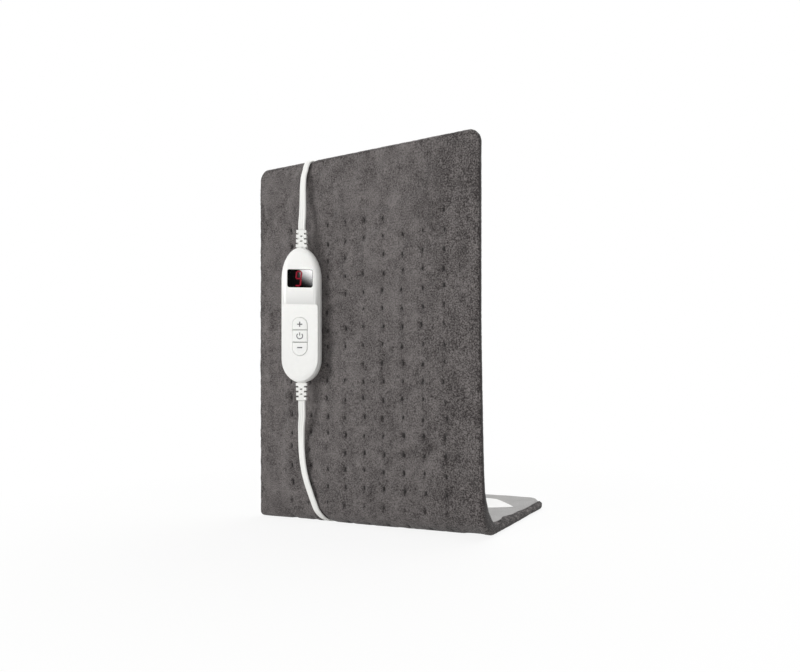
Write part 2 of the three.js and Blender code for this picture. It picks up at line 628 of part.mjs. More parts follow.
function makeConnectorPlug() {
  const top = SOCKET_MOUTH - GAP;
  const bottom = top - PLUG_GRIP_HEIGHT;
  const end = bottom - CONNECTOR_RELIEF_LENGTH;
  const noseHeight = SOCKET_HEIGHT - SOCKET_END_WALL - LAP;
  const nose = box(
    SOCKET_X, CONNECTOR_DEPTH, SOCKET_MOUTH + noseHeight / 2 - LAP,
    SOCKET_WIDTH - 2 * (SOCKET_WALL + GAP), SOCKET_STANDOUT - 2 * (SOCKET_WALL + GAP), noseHeight);
  const half = PLUG_GRIP_WIDTH / 2;
  const neck = RELIEF_ROOT_WIDTH / 2;
  const grip = new THREE.Shape();
  grip.moveTo(SOCKET_X - half, top);
  grip.lineTo(SOCKET_X - half, top - PLUG_GRIP_HEIGHT / 2);
  grip.quadraticCurveTo(SOCKET_X - half, bottom, SOCKET_X - neck, bottom);
  grip.lineTo(SOCKET_X + neck, bottom);
  grip.quadraticCurveTo(SOCKET_X + half, bottom, SOCKET_X + half, top - PLUG_GRIP_HEIGHT / 2);
  grip.lineTo(SOCKET_X + half, top);
  const gripHalf = SOCKET_STANDOUT / 2 - GAP;
  const grips = slab(grip, CONNECTOR_DEPTH - gripHalf, CONNECTOR_DEPTH + gripHalf, RELIEF_BEVEL);
  const relief = reliefBody(bottom - end).rotateY(Math.PI).translate(SOCKET_X, CONNECTOR_DEPTH, bottom + LAP);
  const holes = PIN_XS.map((x) => post(
    x, CONNECTOR_DEPTH, PIN_SEAT - PIN_REACH - LAP, PIN_SEAT + LAP, PIN_DIAMETER + 2 * HOLE_CLEARANCE));
  piece('connector_plug', cut(join(grips, nose, relief), ...holes), 'leadWhite', leads);
}

// Controller: local x to the right, y from the front face to the rear, z up

const TOP_CENTRE = CONTROLLER_LENGTH / 2 - TOP_END;
const BOTTOM_CENTRE = BOTTOM_END - CONTROLLER_LENGTH / 2;
const BOARD_BACK = BOARD_FRONT + BOARD_THICKNESS;
const FRONT_INSIDE = -(FRONT_DEPTH - SHELL_WALL);
const REAR_INSIDE = REAR_DEPTH - SHELL_WALL;
const PLATE_FRONT = -(FRONT_DEPTH + PLATE_RISE);
const FLANGE_FRONT = FRONT_INSIDE + GAP;
const FLANGE_BACK = FLANGE_FRONT + FLANGE_THICKNESS;
const SWITCH_TOP = BOARD_FRONT - GAP - SWITCH_HEIGHT;
const COMPONENT_ROOM = REAR_INSIDE - BOARD_BACK - 2 * GAP;
const PLATE_TOP = PLATE_LENGTH - CONTROLLER_LENGTH / 2;
const LENS_MIDDLE = CONTROLLER_LENGTH / 2 - LENS_FROM_TOP;
const KEY_OPENING_MIDDLE = KEYS_FROM_BOTTOM - CONTROLLER_LENGTH / 2;
const BOARD_HALF_LENGTH = CONTROLLER_LENGTH / 2 - BOARD_END_DISTANCE;
const SCREW_Z = CONTROLLER_LENGTH / 2 - SCREW_END_DISTANCE;
const UPPER_SCREW_X = CORE_FAN * CORE_PITCH + (CORE_DIAMETER + BOSS_DIAMETER) / 2 + SCREW_CORE_CLEARANCE;
const LOWER_SCREW_X = CONTROLLER_WIDTH / 2 - SCREW_SIDE_DISTANCE;
const SCREW_PLACES = [
  [UPPER_SCREW_X, SCREW_Z], [-UPPER_SCREW_X, SCREW_Z], [LOWER_SCREW_X, -SCREW_Z], [-LOWER_SCREW_X, -SCREW_Z],
];
const SCREW_HOLE = SCREW_SHANK + 2 * HOLE_CLEARANCE;
const SCREW_SEAT = REAR_DEPTH - SCREW_HEAD_HEIGHT - 2 * GAP;
const SCREW_TIP = BOARD_FRONT - GAP - SCREW_GRIP;

// How far from the controller's middle a relief's flange can sit: just inside the end wall
function reliefFlangeTop(end) {
  const share = RELIEF_FLANGE_WIDTH / (CONTROLLER_WIDTH - 2 * SHELL_WALL);
  const [centre, reach] = end > 0 ? [TOP_CENTRE, TOP_END] : [-BOTTOM_CENTRE, BOTTOM_END];
  return centre + (reach - SHELL_WALL) * Math.sqrt(1 - share ** 2) - GAP;
}

// The controller's outline, drawn in by inset, at depth y: straight sides between two half ellipses,
// the upper one longer
function outlineRing(inset, y) {
  const half = CONTROLLER_WIDTH / 2 - inset;
  const points = [];
  const ends = [[TOP_CENTRE, TOP_END - inset, 0], [BOTTOM_CENTRE, BOTTOM_END - inset, Math.PI]];
  for (const [centre, reach, first] of ends) {
    for (let k = 0; k <= END_STEPS; k += 1) {
      const angle = first + (Math.PI * k) / END_STEPS;
      points.push(vector(half * Math.cos(angle), y, centre + reach * Math.sin(angle)));
    }
  }
  return points;
}

// Half of the housing's form from the parting line to a face: straight, then rounded over a quarter
// ellipse. toward is -1 for the front half and 1 for the rear, shrink is the wall for the inside.
function shellHull(depth, shrink, toward, parting) {
  const rings = [outlineRing(shrink, parting)];
  for (let k = 0; k <= EDGE_STEPS; k += 1) {
    const angle = (Math.PI / 2) * (k / EDGE_STEPS);
    const inset = shrink + (SHELL_EDGE - shrink) * (1 - Math.cos(angle));
    const y = SHELL_STRAIGHT + (depth - shrink - SHELL_STRAIGHT) * Math.sin(angle);
    rings.push(outlineRing(inset, toward * y));
  }
  return loft(rings);
}

// The raised key plate follows the lower end of the outline and ends in two round corners at the top
function plateRing(inset, y) {
  const half = CONTROLLER_WIDTH / 2 - inset;
  const top = PLATE_TOP + PLATE_INSET - inset;
  const points = [];
  for (let k = 0; k <= END_STEPS; k += 1) {
    const angle = Math.PI * (1 + k / END_STEPS);
    points.push(vector(half * Math.cos(angle), y, BOTTOM_CENTRE + (BOTTOM_END - inset) * Math.sin(angle)));
  }
  for (const side of [1, -1]) {
    for (let k = 0; k <= CORNER_STEPS; k += 1) {
      const angle = (Math.PI / 2) * (k / CORNER_STEPS) + (side < 0 ? Math.PI / 2 : 0);
      const x = side * (half - PLATE_CORNER) + PLATE_CORNER * Math.cos(angle);
      points.push(vector(x, y, top - PLATE_CORNER + PLATE_CORNER * Math.sin(angle)));
    }
  }
  return points;
}

// The openings for the reliefs' necks, half in each shell
function neckOpenings() {
  const height = SHELL_EDGE + SHELL_WALL;
  return [1, -1].map((end) => box(
    0, PARTING_MIDDLE, end * (CONTROLLER_LENGTH / 2 - SHELL_WALL),
    RELIEF_NECK_WIDTH + 2 * GAP, RELIEF_NECK_THICKNESS + 2 * GAP, height));
}

function makeFrontShell() {
  const plate = loft([
    plateRing(PLATE_INSET, -SHELL_STRAIGHT),
    plateRing(PLATE_INSET, PLATE_FRONT + KEY_BEVEL),
    plateRing(PLATE_INSET + KEY_BEVEL, PLATE_FRONT),
  ]);
  const outside = join(shellHull(FRONT_DEPTH, 0, -1, 0), plate);
  const hollow = cut(outside, shellHull(FRONT_DEPTH, SHELL_WALL, -1, SHELL_WALL));
  const bosses = SCREW_PLACES.map(([x, z]) => bar(
    x, z, FRONT_INSIDE - SHELL_WALL / 2, BOARD_FRONT - GAP, BOSS_DIAMETER));
  const bores = SCREW_PLACES.map(([x, z]) => bar(
    x, z, SCREW_TIP - GAP, BOARD_FRONT, SCREW_HOLE, SCREW_SIDES));
  const lensOpening = slab(
    roundedRectangle(0, LENS_MIDDLE, LENS_WIDTH, LENS_HEIGHT, LENS_CORNER),
    -FRONT_DEPTH - SHELL_WALL, FRONT_INSIDE + SHELL_WALL);
  const keyOpening = slab(
    roundedRectangle(0, KEY_OPENING_MIDDLE, KEY_OPENING_WIDTH, KEY_OPENING_HEIGHT, KEY_OPENING_WIDTH / 2),
    PLATE_FRONT - SHELL_WALL, FRONT_INSIDE + SHELL_WALL, 0, KEY_STEPS);
  const shell = cut(join(hollow, ...bosses), ...bores, lensOpening, keyOpening, ...neckOpenings());
  piece('front_shell', shell, 'whitePlastic', controller);
}

function makeRearShell() {
  const hollow = cut(shellHull(REAR_DEPTH, 0, 1, GAP), shellHull(REAR_DEPTH, SHELL_WALL, 1, -SHELL_WALL));
  const posts = SCREW_PLACES.map(([x, z]) => bar(x, z, BOARD_BACK + GAP, SCREW_SEAT + GAP, POST_DIAMETER));
  const bores = SCREW_PLACES.map(([x, z]) => bar(x, z, BOARD_BACK, REAR_DEPTH, SCREW_HOLE, SCREW_SIDES));
  const sinks = SCREW_PLACES.map(([x, z]) => bar(
    x, z, SCREW_SEAT, REAR_DEPTH + SHELL_WALL, SCREW_HEAD + 2 * HOLE_CLEARANCE));
  const shell = cut(join(hollow, ...posts), ...bores, ...sinks, ...neckOpenings());
  piece('rear_shell', shell, 'whitePlastic', controller);
}

function makeScrews() {
  const head = SCREW_SEAT + GAP;
  const profile = [
    [0, SCREW_TIP], [SCREW_SHANK / 2, SCREW_TIP], [SCREW_SHANK / 2, head],
    [SCREW_HEAD / 2, head], [SCREW_HEAD / 2, head + SCREW_HEAD_HEIGHT], [0, head + SCREW_HEAD_HEIGHT],
  ].map(([radius, y]) => new THREE.Vector2(radius, y));
  SCREW_PLACES.forEach(([x, z], k) => {
    const turned = new THREE.LatheGeometry(profile, SCREW_SIDES);
    const screw = piece(`shell_screw_${k + 1}`, turned, 'steel', controller);
    screw.position.set(x, 0, z);
  });
}

function makeDisplay() {
  const glass = slab(
    roundedRectangle(0, LENS_MIDDLE, LENS_WIDTH - 2 * GAP, LENS_HEIGHT - 2 * GAP, LENS_CORNER - GAP),
    -FRONT_DEPTH + LENS_RECESS, FLANGE_BACK);
  const rim = slab(
    roundedRectangle(
      0, LENS_MIDDLE, LENS_WIDTH + 2 * LENS_FLANGE, LENS_HEIGHT + 2 * LENS_FLANGE, LENS_CORNER + LENS_FLANGE),
    FLANGE_FRONT, FLANGE_BACK);
  piece('display_lens', join(glass, rim), 'smokedLens', controller);
  const module = slab(
    roundedRectangle(0, LENS_MIDDLE, DISPLAY_WIDTH, DISPLAY_HEIGHT, COMPONENT_CORNER),
    FLANGE_BACK + GAP, BOARD_FRONT - GAP, GAP, 2);
  piece('led_display', module, 'darkPlastic', controller);
}

// A key's outline in the pill-shaped opening, spread outwards or drawn in
function keyShape(name, spread) {
  const half = KEY_OPENING_WIDTH / 2 + spread;
  const end = (KEY_OPENING_HEIGHT - KEY_OPENING_WIDTH) / 2;
  const [upper, lower] = KEY_SPLIT_OFFSETS.map((offset) => KEY_OPENING_MIDDLE + offset);
  const shape = new THREE.Shape();
  if (name === 'minus') {
    shape.absarc(0, KEY_OPENING_MIDDLE - end, half, Math.PI, 2 * Math.PI);
  } else {
    const bottom = (name === 'plus' ? upper : lower) + KEY_CLEARANCE;
    shape.moveTo(-half, bottom);
    shape.lineTo(half, bottom);
  }
  if (name === 'plus') {
    shape.absarc(0, KEY_OPENING_MIDDLE + end, half, 0, Math.PI);
  } else {
    const top = (name === 'minus' ? lower : upper) - KEY_CLEARANCE;
    shape.lineTo(half, top);
    shape.lineTo(-half, top);
  }
  return shape;
}

function makeKeys() {
  const stemEnd = FLANGE_BACK + KEY_STEM_LENGTH;
  for (const [name, offset] of Object.entries(KEY_OFFSETS)) {
    const z = KEY_OPENING_MIDDLE + offset;
    const cap = slab(
      keyShape(name, -KEY_CLEARANCE), PLATE_FRONT - KEY_RISE, FLANGE_BACK - KEY_BEVEL, KEY_BEVEL, KEY_STEPS);
    const flange = slab(keyShape(name, KEY_FLANGE), FLANGE_FRONT, FLANGE_BACK, 0, KEY_STEPS);
    const stem = bar(0, z, FLANGE_FRONT, stemEnd, KEY_STEM_DIAMETER);
    piece(`${name}_button`, join(cap, flange, stem), 'keyPlastic', controller);

    const plunger = bar(0, z, stemEnd + GAP, SWITCH_TOP + PLUNGER_DIP, PLUNGER_DIAMETER);
    piece(`${name}_plunger`, plunger, 'darkPlastic', controller);

    const block = box(0, SWITCH_TOP + SWITCH_HEIGHT / 2, z, SWITCH_SIZE, SWITCH_HEIGHT, SWITCH_SIZE);
    const well = bar(
      0, z, SWITCH_TOP - SWITCH_WELL_DEPTH, SWITCH_TOP + SWITCH_WELL_DEPTH,
      PLUNGER_DIAMETER + 2 * HOLE_CLEARANCE);
    piece(`${name}_switch`, cut(block, well), 'darkPlastic', controller);
  }
}

function makeBoard() {
  const inset = SHELL_WALL + BOARD_SIDE_CLEARANCE;
  const plate = loft([outlineRing(inset, BOARD_FRONT), outlineRing(inset, BOARD_BACK)]);
  const spare = CONTROLLER_WIDTH;
  const ends = [1, -1].map((end) => box(
    0, BOARD_FRONT, end * (BOARD_HALF_LENGTH + spare / 2), spare, spare, spare));
  const bores = SCREW_PLACES.map(([x, z]) => bar(
    x, z, BOARD_FRONT - BOARD_THICKNESS, BOARD_BACK + BOARD_THICKNESS, SCREW_HOLE, SCREW_SIDES));
  piece('circuit_board', cut(plate, ...ends, ...bores), 'boardGreen', controller);
}

// Parts soldered to the board: the chip in front, the tall ones behind
function makeComponents() {
  const chipBack = BOARD_FRONT - GAP;
  const seat = BOARD_BACK + GAP;
  const top = seat + COMPONENT_ROOM;
  const chip = slab(
    roundedRectangle(0, CHIP_Z, CHIP_SIZE, CHIP_SIZE, COMPONENT_CORNER),
    chipBack - CHIP_HEIGHT, chipBack, GAP, 2);
  piece('microcontroller', chip, 'darkPlastic', controller);
  const { x: filmX, z: filmZ, width, height } = FILM_CAPACITOR;
  const film = slab(roundedRectangle(filmX, filmZ, width, height, COMPONENT_CORNER), seat, top, GAP, 2);
  piece('film_capacitor', film, 'capacitorYellow', controller);
  const canBottom = CAN_CAPACITOR.z - CAN_CAPACITOR.height / 2;
  const can = post(
    CAN_CAPACITOR.x, seat + COMPONENT_ROOM / 2, canBottom, canBottom + CAN_CAPACITOR.height,
    COMPONENT_ROOM, CAN_SIDES);
  piece('smoothing_capacitor', can, 'capacitorSleeve', controller);
  const tab = slab(
    roundedRectangle(0, TRIAC_TAB.z, TRIAC.width, TRIAC_TAB.height, COMPONENT_CORNER),
    seat, seat + TRIAC_TAB.thickness, 0, 2);
  const body = slab(
    roundedRectangle(0, TRIAC.z, TRIAC.width, TRIAC.height, COMPONENT_CORNER), seat, top, GAP, 2);
  piece('triac', join(tab, body), 'darkPlastic', controller);
  const fuseBottom = MAINS_FUSE.z - MAINS_FUSE.length / 2;
  const fuse = post(
    MAINS_FUSE.x, seat + MAINS_FUSE.diameter / 2, fuseBottom, fuseBottom + MAINS_FUSE.length,
    MAINS_FUSE.diameter, SCREW_SIDES);
  piece('mains_fuse', fuse, 'glass', controller);
}

// A ladder-type relief from z = 0 up: rungs with notches at both sides and a slot in each block
function reliefBody(length) {
  const halfAt = (z) => THREE.MathUtils.lerp(RELIEF_ROOT_WIDTH, RELIEF_TIP_WIDTH, z / length) / 2;
  const notchMiddle = (k) => (length * (k + 0.75)) / (RELIEF_RUNGS + 0.5);
  const side = [[halfAt(0), 0]];
  for (let k = 0; k < RELIEF_RUNGS; k += 1) {
    const [low, high] = [notchMiddle(k) - RELIEF_NOTCH_HEIGHT / 2, notchMiddle(k) + RELIEF_NOTCH_HEIGHT / 2];
    side.push([halfAt(low), low], [halfAt(low) - RELIEF_NOTCH_DEPTH, low]);
    side.push([halfAt(high) - RELIEF_NOTCH_DEPTH, high], [halfAt(high), high]);
  }
  side.push([halfAt(length), length]);
  const mirrored = side.map(([x, z]) => [-x, z]).reverse();
  const shape = new THREE.Shape([...side, ...mirrored].map(([x, z]) => new THREE.Vector2(x, z)));
  for (let k = 0; k + 1 < RELIEF_RUNGS; k += 1) {
    const middle = (notchMiddle(k) + notchMiddle(k + 1)) / 2;
    const width = RELIEF_TIP_WIDTH / 4;
    shape.holes.push(roundedRectangle(0, middle, width, RELIEF_SLOT_HEIGHT, RELIEF_SLOT_HEIGHT / 3));
  }
  return slab(shape, -RELIEF_THICKNESS / 2, RELIEF_THICKNESS / 2, 0, 2);
}

function makeRelief(name, end) {
  const root = CONTROLLER_LENGTH / 2 + GAP;
  const flangeTop = reliefFlangeTop(end);
  const flange = box(
    0, 0, flangeTop - RELIEF_FLANGE_THICKNESS / 2,
    RELIEF_FLANGE_WIDTH, RELIEF_THICKNESS, RELIEF_FLANGE_THICKNESS);
  const neckBottom = flangeTop - RELIEF_FLANGE_THICKNESS / 2;
  const neckTop = root + RELIEF_NOTCH_HEIGHT / 2;
  const neck = box(
    0, 0, (neckBottom + neckTop) / 2, RELIEF_NECK_WIDTH, RELIEF_NECK_THICKNESS, neckTop - neckBottom);
  const relief = join(reliefBody(RELIEF_LENGTH).translate(0, 0, root), neck, flange);
  const turned = end > 0 ? relief : relief.rotateY(Math.PI);
  piece(name, turned.translate(0, PARTING_MIDDLE, 0), 'leadWhite', controller);
}

// The lead's cores fan out from a relief to the board's front
function makeCores(label, end, xs) {
  const start = reliefFlangeTop(end) - RELIEF_FLANGE_THICKNESS - GAP;
  const y = BOARD_FRONT - GAP - CORE_DIAMETER / 2;
  xs.forEach((x, k) => {
    const fanned = CORE_FAN * x;
    const points = [
      [x, start], [x, start - CORE_STRAIGHT],
      [fanned, BOARD_HALF_LENGTH], [fanned, BOARD_HALF_LENGTH - CORE_LAP],
    ];
    const route = points.map(([across, z]) => vector(across, y, end * z));
    const wides = route.map(() => vector(1, 0, 0));
    const core = sweep(route, wides, roundSection(CORE_DIAMETER, CORE_SIDES));
    piece(`${label}_core_${k + 1}`, core, 'silicone', controller);
  });
}

// Leads

const LEAD_SECTION = flatSection(LEAD_WIDTH, LEAD_THICKNESS, LEAD_END_STEPS);

// A lead's whole route: straight out of the controller's relief, then along its own points to its end
function leadRoute(end, route, lastPoint, lastWide) {
  const start = controller.localToWorld(vector(0, PARTING_MIDDLE, end * (RELIEF_TIP + GAP)));
  const wide = vector(Math.cos(CONTROLLER_TURN), Math.sin(CONTROLLER_TURN), 0);
  return {
    points: [start, start.clone().add(vector(0, 0, end * LEAD_WIDTH)), ...routePoints(route), lastPoint],
    wides: [wide, wide, ...routeWides(route), lastWide],
  };
}

// The coil's turns: the bottom layer spirals in, the half turn at the middle climbs, the top layer
// spirals out at the same rate
function coilPath() {
  const spiral = (COIL_TURNS - COIL_CLIMB_TURNS) / 2;
  const centre = COIL_START.clone().sub(vector(COIL_RADIUS, 0, 0));
  const points = [];
  for (let k = 0; k <= COIL_TURNS * COIL_STEPS; k += 1) {
    const turns = k / COIL_STEPS;
    const climb = THREE.MathUtils.clamp((turns - spiral) / COIL_CLIMB_TURNS, 0, 1);
    const inward = Math.min(turns, spiral) - Math.max(turns - spiral - COIL_CLIMB_TURNS, 0);
    const dip = COIL_CLIMB_TURNS * climb * (1 - climb);
    const radius = COIL_RADIUS - COIL_PITCH * (inward + dip);
    const angle = 2 * Math.PI * turns;
    const rise = COIL_LAYER * THREE.MathUtils.smoothstep(climb, 0, 1);
    points.push(vector(radius * Math.cos(angle), radius * Math.sin(angle), rise).add(centre));
  }
  return points;
}

// The least distance between points on the coil's skin that lie half a turn or more apart
function leastSelfGap(points, section) {
  const up = vector(0, 0, 1);
  const rings = points.map((point, k) => {
    const next = points[Math.min(k + 1, points.length - 1)];
    const along = next.clone().sub(points[Math.max(k - 1, 0)]).normalize();
    const wide = up.clone().addScaledVector(along, -along.z).normalize();
    const thin = along.clone().cross(wide);
    return section.map(([a, b]) => point.clone().addScaledVector(wide, a).addScaledVector(thin, b));
  });
  let least = Infinity;
  for (let a = 0; a < rings.length; a += 1) {
    for (let b = a + COIL_STEPS / 2; b < rings.length; b += 1) {
      for (const p of rings[a]) {
        for (const q of rings[b]) {
          least = Math.min(least, p.distanceTo(q));
        }
      }
    }
  }
  return least;
}

function makeCoil(points) {
  const [reach, half] = [LEAD_WIDTH / 2, LEAD_THICKNESS / 2];
  const shoulder = reach - half;
  const section = [
    [reach, 0], [shoulder, half], [-shoulder, half], [-reach, 0], [-shoulder, -half], [shoulder, -half],
  ];
  piece('mains_coil', sweep(points, points.map(() => vector(0, 0, 1)), section), 'leadWhite', leads);
  console.log(`least gap between the coil's turns: ${leastSelfGap(points, section).toFixed(2)} mm`);
}

// A band round the coil at the side away from where the lead comes in
function makeTie() {
  const spiral = (COIL_TURNS - COIL_CLIMB_TURNS) / 2;
  const innermost = COIL_RADIUS - COIL_PITCH * (spiral + COIL_CLIMB_TURNS / 4);
  const sag = TIE_WIDTH ** 2 / (8 * innermost);
  const outer = COIL_RADIUS + LEAD_THICKNESS / 2 + TIE_CLEARANCE;
  const inner = innermost - LEAD_THICKNESS / 2 - TIE_CLEARANCE - sag;
  const width = outer - inner;
  const height = COIL_LAYER + LEAD_WIDTH + 2 * TIE_CLEARANCE;
  const x = COIL_START.x - COIL_RADIUS - (outer + inner) / 2;
  const z = COIL_START.z + COIL_LAYER / 2;
  const band = roundedRectangle(
    x, z, width + 2 * TIE_THICKNESS, height + 2 * TIE_THICKNESS, 2 * TIE_THICKNESS);
  band.holes.push(roundedRectangle(x, z, width, height, TIE_THICKNESS));
  const tie = slab(band, COIL_START.y - TIE_WIDTH / 2, COIL_START.y + TIE_WIDTH / 2, 0, 2);
  piece('coil_tie', tie, 'darkPlastic', leads);
}

// A ring of the plug or its relief, at the distance back from where the lead enters
function plugRing(distance, width, thickness) {
  return flatSection(width, thickness, LEAD_END_STEPS).map(([a, b]) => (
    vector(PLUG_POSITION.x + a, PLUG_POSITION.y - distance, PLUG_POSITION.z + b)));
}

function makePlug() {
  const ribs = [];
  const wall = 2 * PLUG_RELIEF_WALL;
  for (let k = 0; k <= 2 * PLUG_RIBS; k += 1) {
    const share = k / (2 * PLUG_RIBS);
    const groove = k % 2 === 1 ? PLUG_RIB_DEPTH : 0;
    const width = THREE.MathUtils.lerp(LEAD_WIDTH + wall, PLUG_TAIL_WIDTH, share) - groove;
    const thickness = THREE.MathUtils.lerp(LEAD_THICKNESS + wall, PLUG_TAIL_THICKNESS, share) - groove;
    ribs.push(plugRing(share * PLUG_RELIEF_LENGTH, width, thickness));
  }
  piece('plug_relief', loft(ribs), 'leadWhite', leads);

  const back = PLUG_RELIEF_LENGTH + GAP;
  const front = back + PLUG_LENGTH;
  const body = loft([
    plugRing(back, PLUG_TAIL_WIDTH, PLUG_TAIL_THICKNESS),
    plugRing(back + PLUG_SHOULDER.distance, PLUG_SHOULDER.width, PLUG_SHOULDER.thickness),
    plugRing(back + PLUG_GRIP_START, PLUG_WIDTH, PLUG_THICKNESS),
    plugRing(front - PLUG_EDGE, PLUG_WIDTH, PLUG_THICKNESS),
    plugRing(front, PLUG_WIDTH - 2 * PLUG_EDGE_INSET, PLUG_THICKNESS - 2 * PLUG_EDGE_INSET),
  ]);
  const bladeBack = front - BLADE_ROOT;
  const bladeAt = (side, spare) => box(
    PLUG_POSITION.x + (side * BLADE_PITCH) / 2, PLUG_POSITION.y - bladeBack - (BLADE_ROOT + BLADE_LENGTH) / 2,
    PLUG_POSITION.z, BLADE_THICKNESS + 2 * spare, BLADE_ROOT + BLADE_LENGTH + 2 * spare,
    BLADE_WIDTH + 2 * spare);
  piece('plug_body', cut(body, bladeAt(-1, GAP), bladeAt(1, GAP)), 'leadWhite', leads);
  piece('plug_blade_1', bladeAt(-1, 0), 'brass', leads);
  piece('plug_blade_2', bladeAt(1, 0), 'brass', leads);
}

// The whole part

makeRearShell();
makeFrontShell();
makeScrews();
makeDisplay();
makeKeys();
makeBoard();
makeComponents();
makeRelief('upper_strain_relief', 1);
makeRelief('lower_strain_relief', -1);
makeCores('pad_lead', 1, [-CORE_PITCH, 0, CORE_PITCH]);
makeCores('mains_lead', -1, [-CORE_PITCH, CORE_PITCH]);

// The controller leans on the panel with the rear of its right edge
const turnedReach = new THREE.Box3().setFromObject(controller, true).max.y;
controller.position.set(CONTROLLER_X, -turnedReach - GAP, CONTROLLER_Z);
controller.updateMatrixWorld(true);

const connectorEnd = SOCKET_MOUTH - GAP - PLUG_GRIP_HEIGHT - CONNECTOR_RELIEF_LENGTH + LAP;
const padLead = leadRoute(
  1, PAD_LEAD_ROUTE, vector(SOCKET_X, CONNECTOR_DEPTH, connectorEnd - GAP), vector(1, 0, 0));
const mainsLead = leadRoute(
  -1, MAINS_LEAD_ROUTE, COIL_START.clone().sub(vector(0, GAP, 0)), vector(0, 0, 1));
const grooveSection = flatSection(
  LEAD_WIDTH + 2 * GROOVE_CLEARANCE, LEAD_THICKNESS + 2 * GROOVE_CLEARANCE, GROOVE_END_STEPS);

makeCovers(sweep(mainsLead.points, mainsLead.wides, grooveSection));
makeFelt();
makeHeatingWire();
makeThermalFuse();
makeSocket();
makeConnectorPlug();

piece('pad_lead', sweep(padLead.points, padLead.wides, LEAD_SECTION), 'leadWhite', leads);
piece('mains_lead', sweep(mainsLead.points, mainsLead.wides, LEAD_SECTION), 'leadWhite', leads);
const coilPoints = coilPath();
makeCoil(coilPoints);
makeTie();
const coilEnd = coilPoints[coilPoints.length - 1].clone().sub(vector(GAP, 0, 0));
const tailPoints = [coilEnd, ...routePoints(PLUG_TAIL_ROUTE), PLUG_POSITION.clone().add(vector(0, GAP, 0))];
const tailWides = [vector(0, 0, 1), ...routeWides(PLUG_TAIL_ROUTE), vector(-1, 0, 0)];
piece('plug_tail', sweep(tailPoints, tailWides, LEAD_SECTION), 'leadWhite', leads);
makePlug();

// The origin is on the floor under the middle of the pad and controller
const middle = new THREE.Box3().setFromObject(unit, true).getCenter(vector());
assembly.position.set(-middle.x, -middle.y, 0);

const part = new THREE.Group();
part.add(assembly);

export default part;
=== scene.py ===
import json
import math

import bmesh
import bpy
import numpy as np
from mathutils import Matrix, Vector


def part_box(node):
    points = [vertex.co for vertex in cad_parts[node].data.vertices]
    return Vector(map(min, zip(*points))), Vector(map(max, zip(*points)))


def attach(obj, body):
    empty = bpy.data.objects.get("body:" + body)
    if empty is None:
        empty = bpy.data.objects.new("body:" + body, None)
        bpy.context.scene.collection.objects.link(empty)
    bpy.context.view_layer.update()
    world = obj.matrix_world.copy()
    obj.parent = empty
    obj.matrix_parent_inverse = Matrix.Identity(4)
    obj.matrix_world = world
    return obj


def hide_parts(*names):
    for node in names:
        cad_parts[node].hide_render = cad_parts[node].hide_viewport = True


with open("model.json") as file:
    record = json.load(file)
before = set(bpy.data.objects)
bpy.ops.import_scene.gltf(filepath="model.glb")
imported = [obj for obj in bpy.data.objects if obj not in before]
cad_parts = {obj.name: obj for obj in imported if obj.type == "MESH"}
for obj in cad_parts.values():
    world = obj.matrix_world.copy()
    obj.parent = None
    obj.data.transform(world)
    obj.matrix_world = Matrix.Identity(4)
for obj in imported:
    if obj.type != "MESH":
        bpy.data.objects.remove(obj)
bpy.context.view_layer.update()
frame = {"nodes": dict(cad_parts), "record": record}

MM = 0.001
ROOT = "pad_and_controller"
FACE_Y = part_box("pad_front_cover")[0].y  # the panel's plush face
SUBPARTS = {part["node"]: part["material_slot"] for part in frame["record"]["subparts"]}
BODY_OF = {node: body for body, nodes in frame["record"]["behaviour"]["bodies"].items() for node in nodes}

# Pad, in millimetres, as it was cut
PAD_WIDTH = 305.0
PAD_LENGTH = 610.0
PAD_THICKNESS = 10.0
ROLL = PAD_THICKNESS / 2  # half the thickness, which its rim rolls round
PAD_CORNER = 12.5
FOOT_CORNER = 23.0
SIDE_TUCK = 2.0  # the filled pad's sides draw in this far, and its ends less
END_TUCK = 0.8
HALF_WIDTH = PAD_WIDTH / 2 - SIDE_TUCK
BEND_RADIUS = 22.0
FOOT_DEPTH = 202.0
BEND_ARC = (BEND_RADIUS - ROLL) * math.pi / 2
PANEL_RUN = PAD_LENGTH - BEND_ARC - (FOOT_DEPTH - BEND_RADIUS)
PANEL_HEIGHT = PANEL_RUN + BEND_RADIUS

# The soft bend opens from left to right, and the panel's right foot has slid back. A ramp has a start and a
# reach: along the pad, out from its middle, or in shares of the bend's zone
BEND_LEFT = 12.0
BEND_RIGHT = 28.0
BEND_ZONE = 62.0  # the bend lies below this height and in front of this depth
ZONE_START = PANEL_HEIGHT - BEND_ZONE
ZONE_LENGTH = PAD_LENGTH - ZONE_START - (FOOT_DEPTH - BEND_ZONE)
LEFT_SQUARENESS = 0.5  # the bend is squarer towards the left edge
SQUARE_RAMP = (75.0, 70.0)
LEFT_DRAW = 1.2  # the lower left edge draws in
DRAW_RAMP = (300.0, 110.0)
FOOT_FLARE = 2.0  # the foot spreads to the right
FLARE_RAMP = (340.0, 90.0)
FOOT_CROWN = 3.0  # and is fuller towards its right back corner
CROWN_RAMP = (530.0, 60.0)
BUNCHING = 10.5  # the filling bunches inside the bend, most at the right edge
BUNCH_RAMP = (0.08, 0.36)
BUNCH_TOP, BUNCH_FALL = 0.44, 0.33
SLIDE_RIGHT = 10.0
SLIDE_TOP = 235.0
SLIDE_START = -45.0
SLIDE_POWER = 1.3

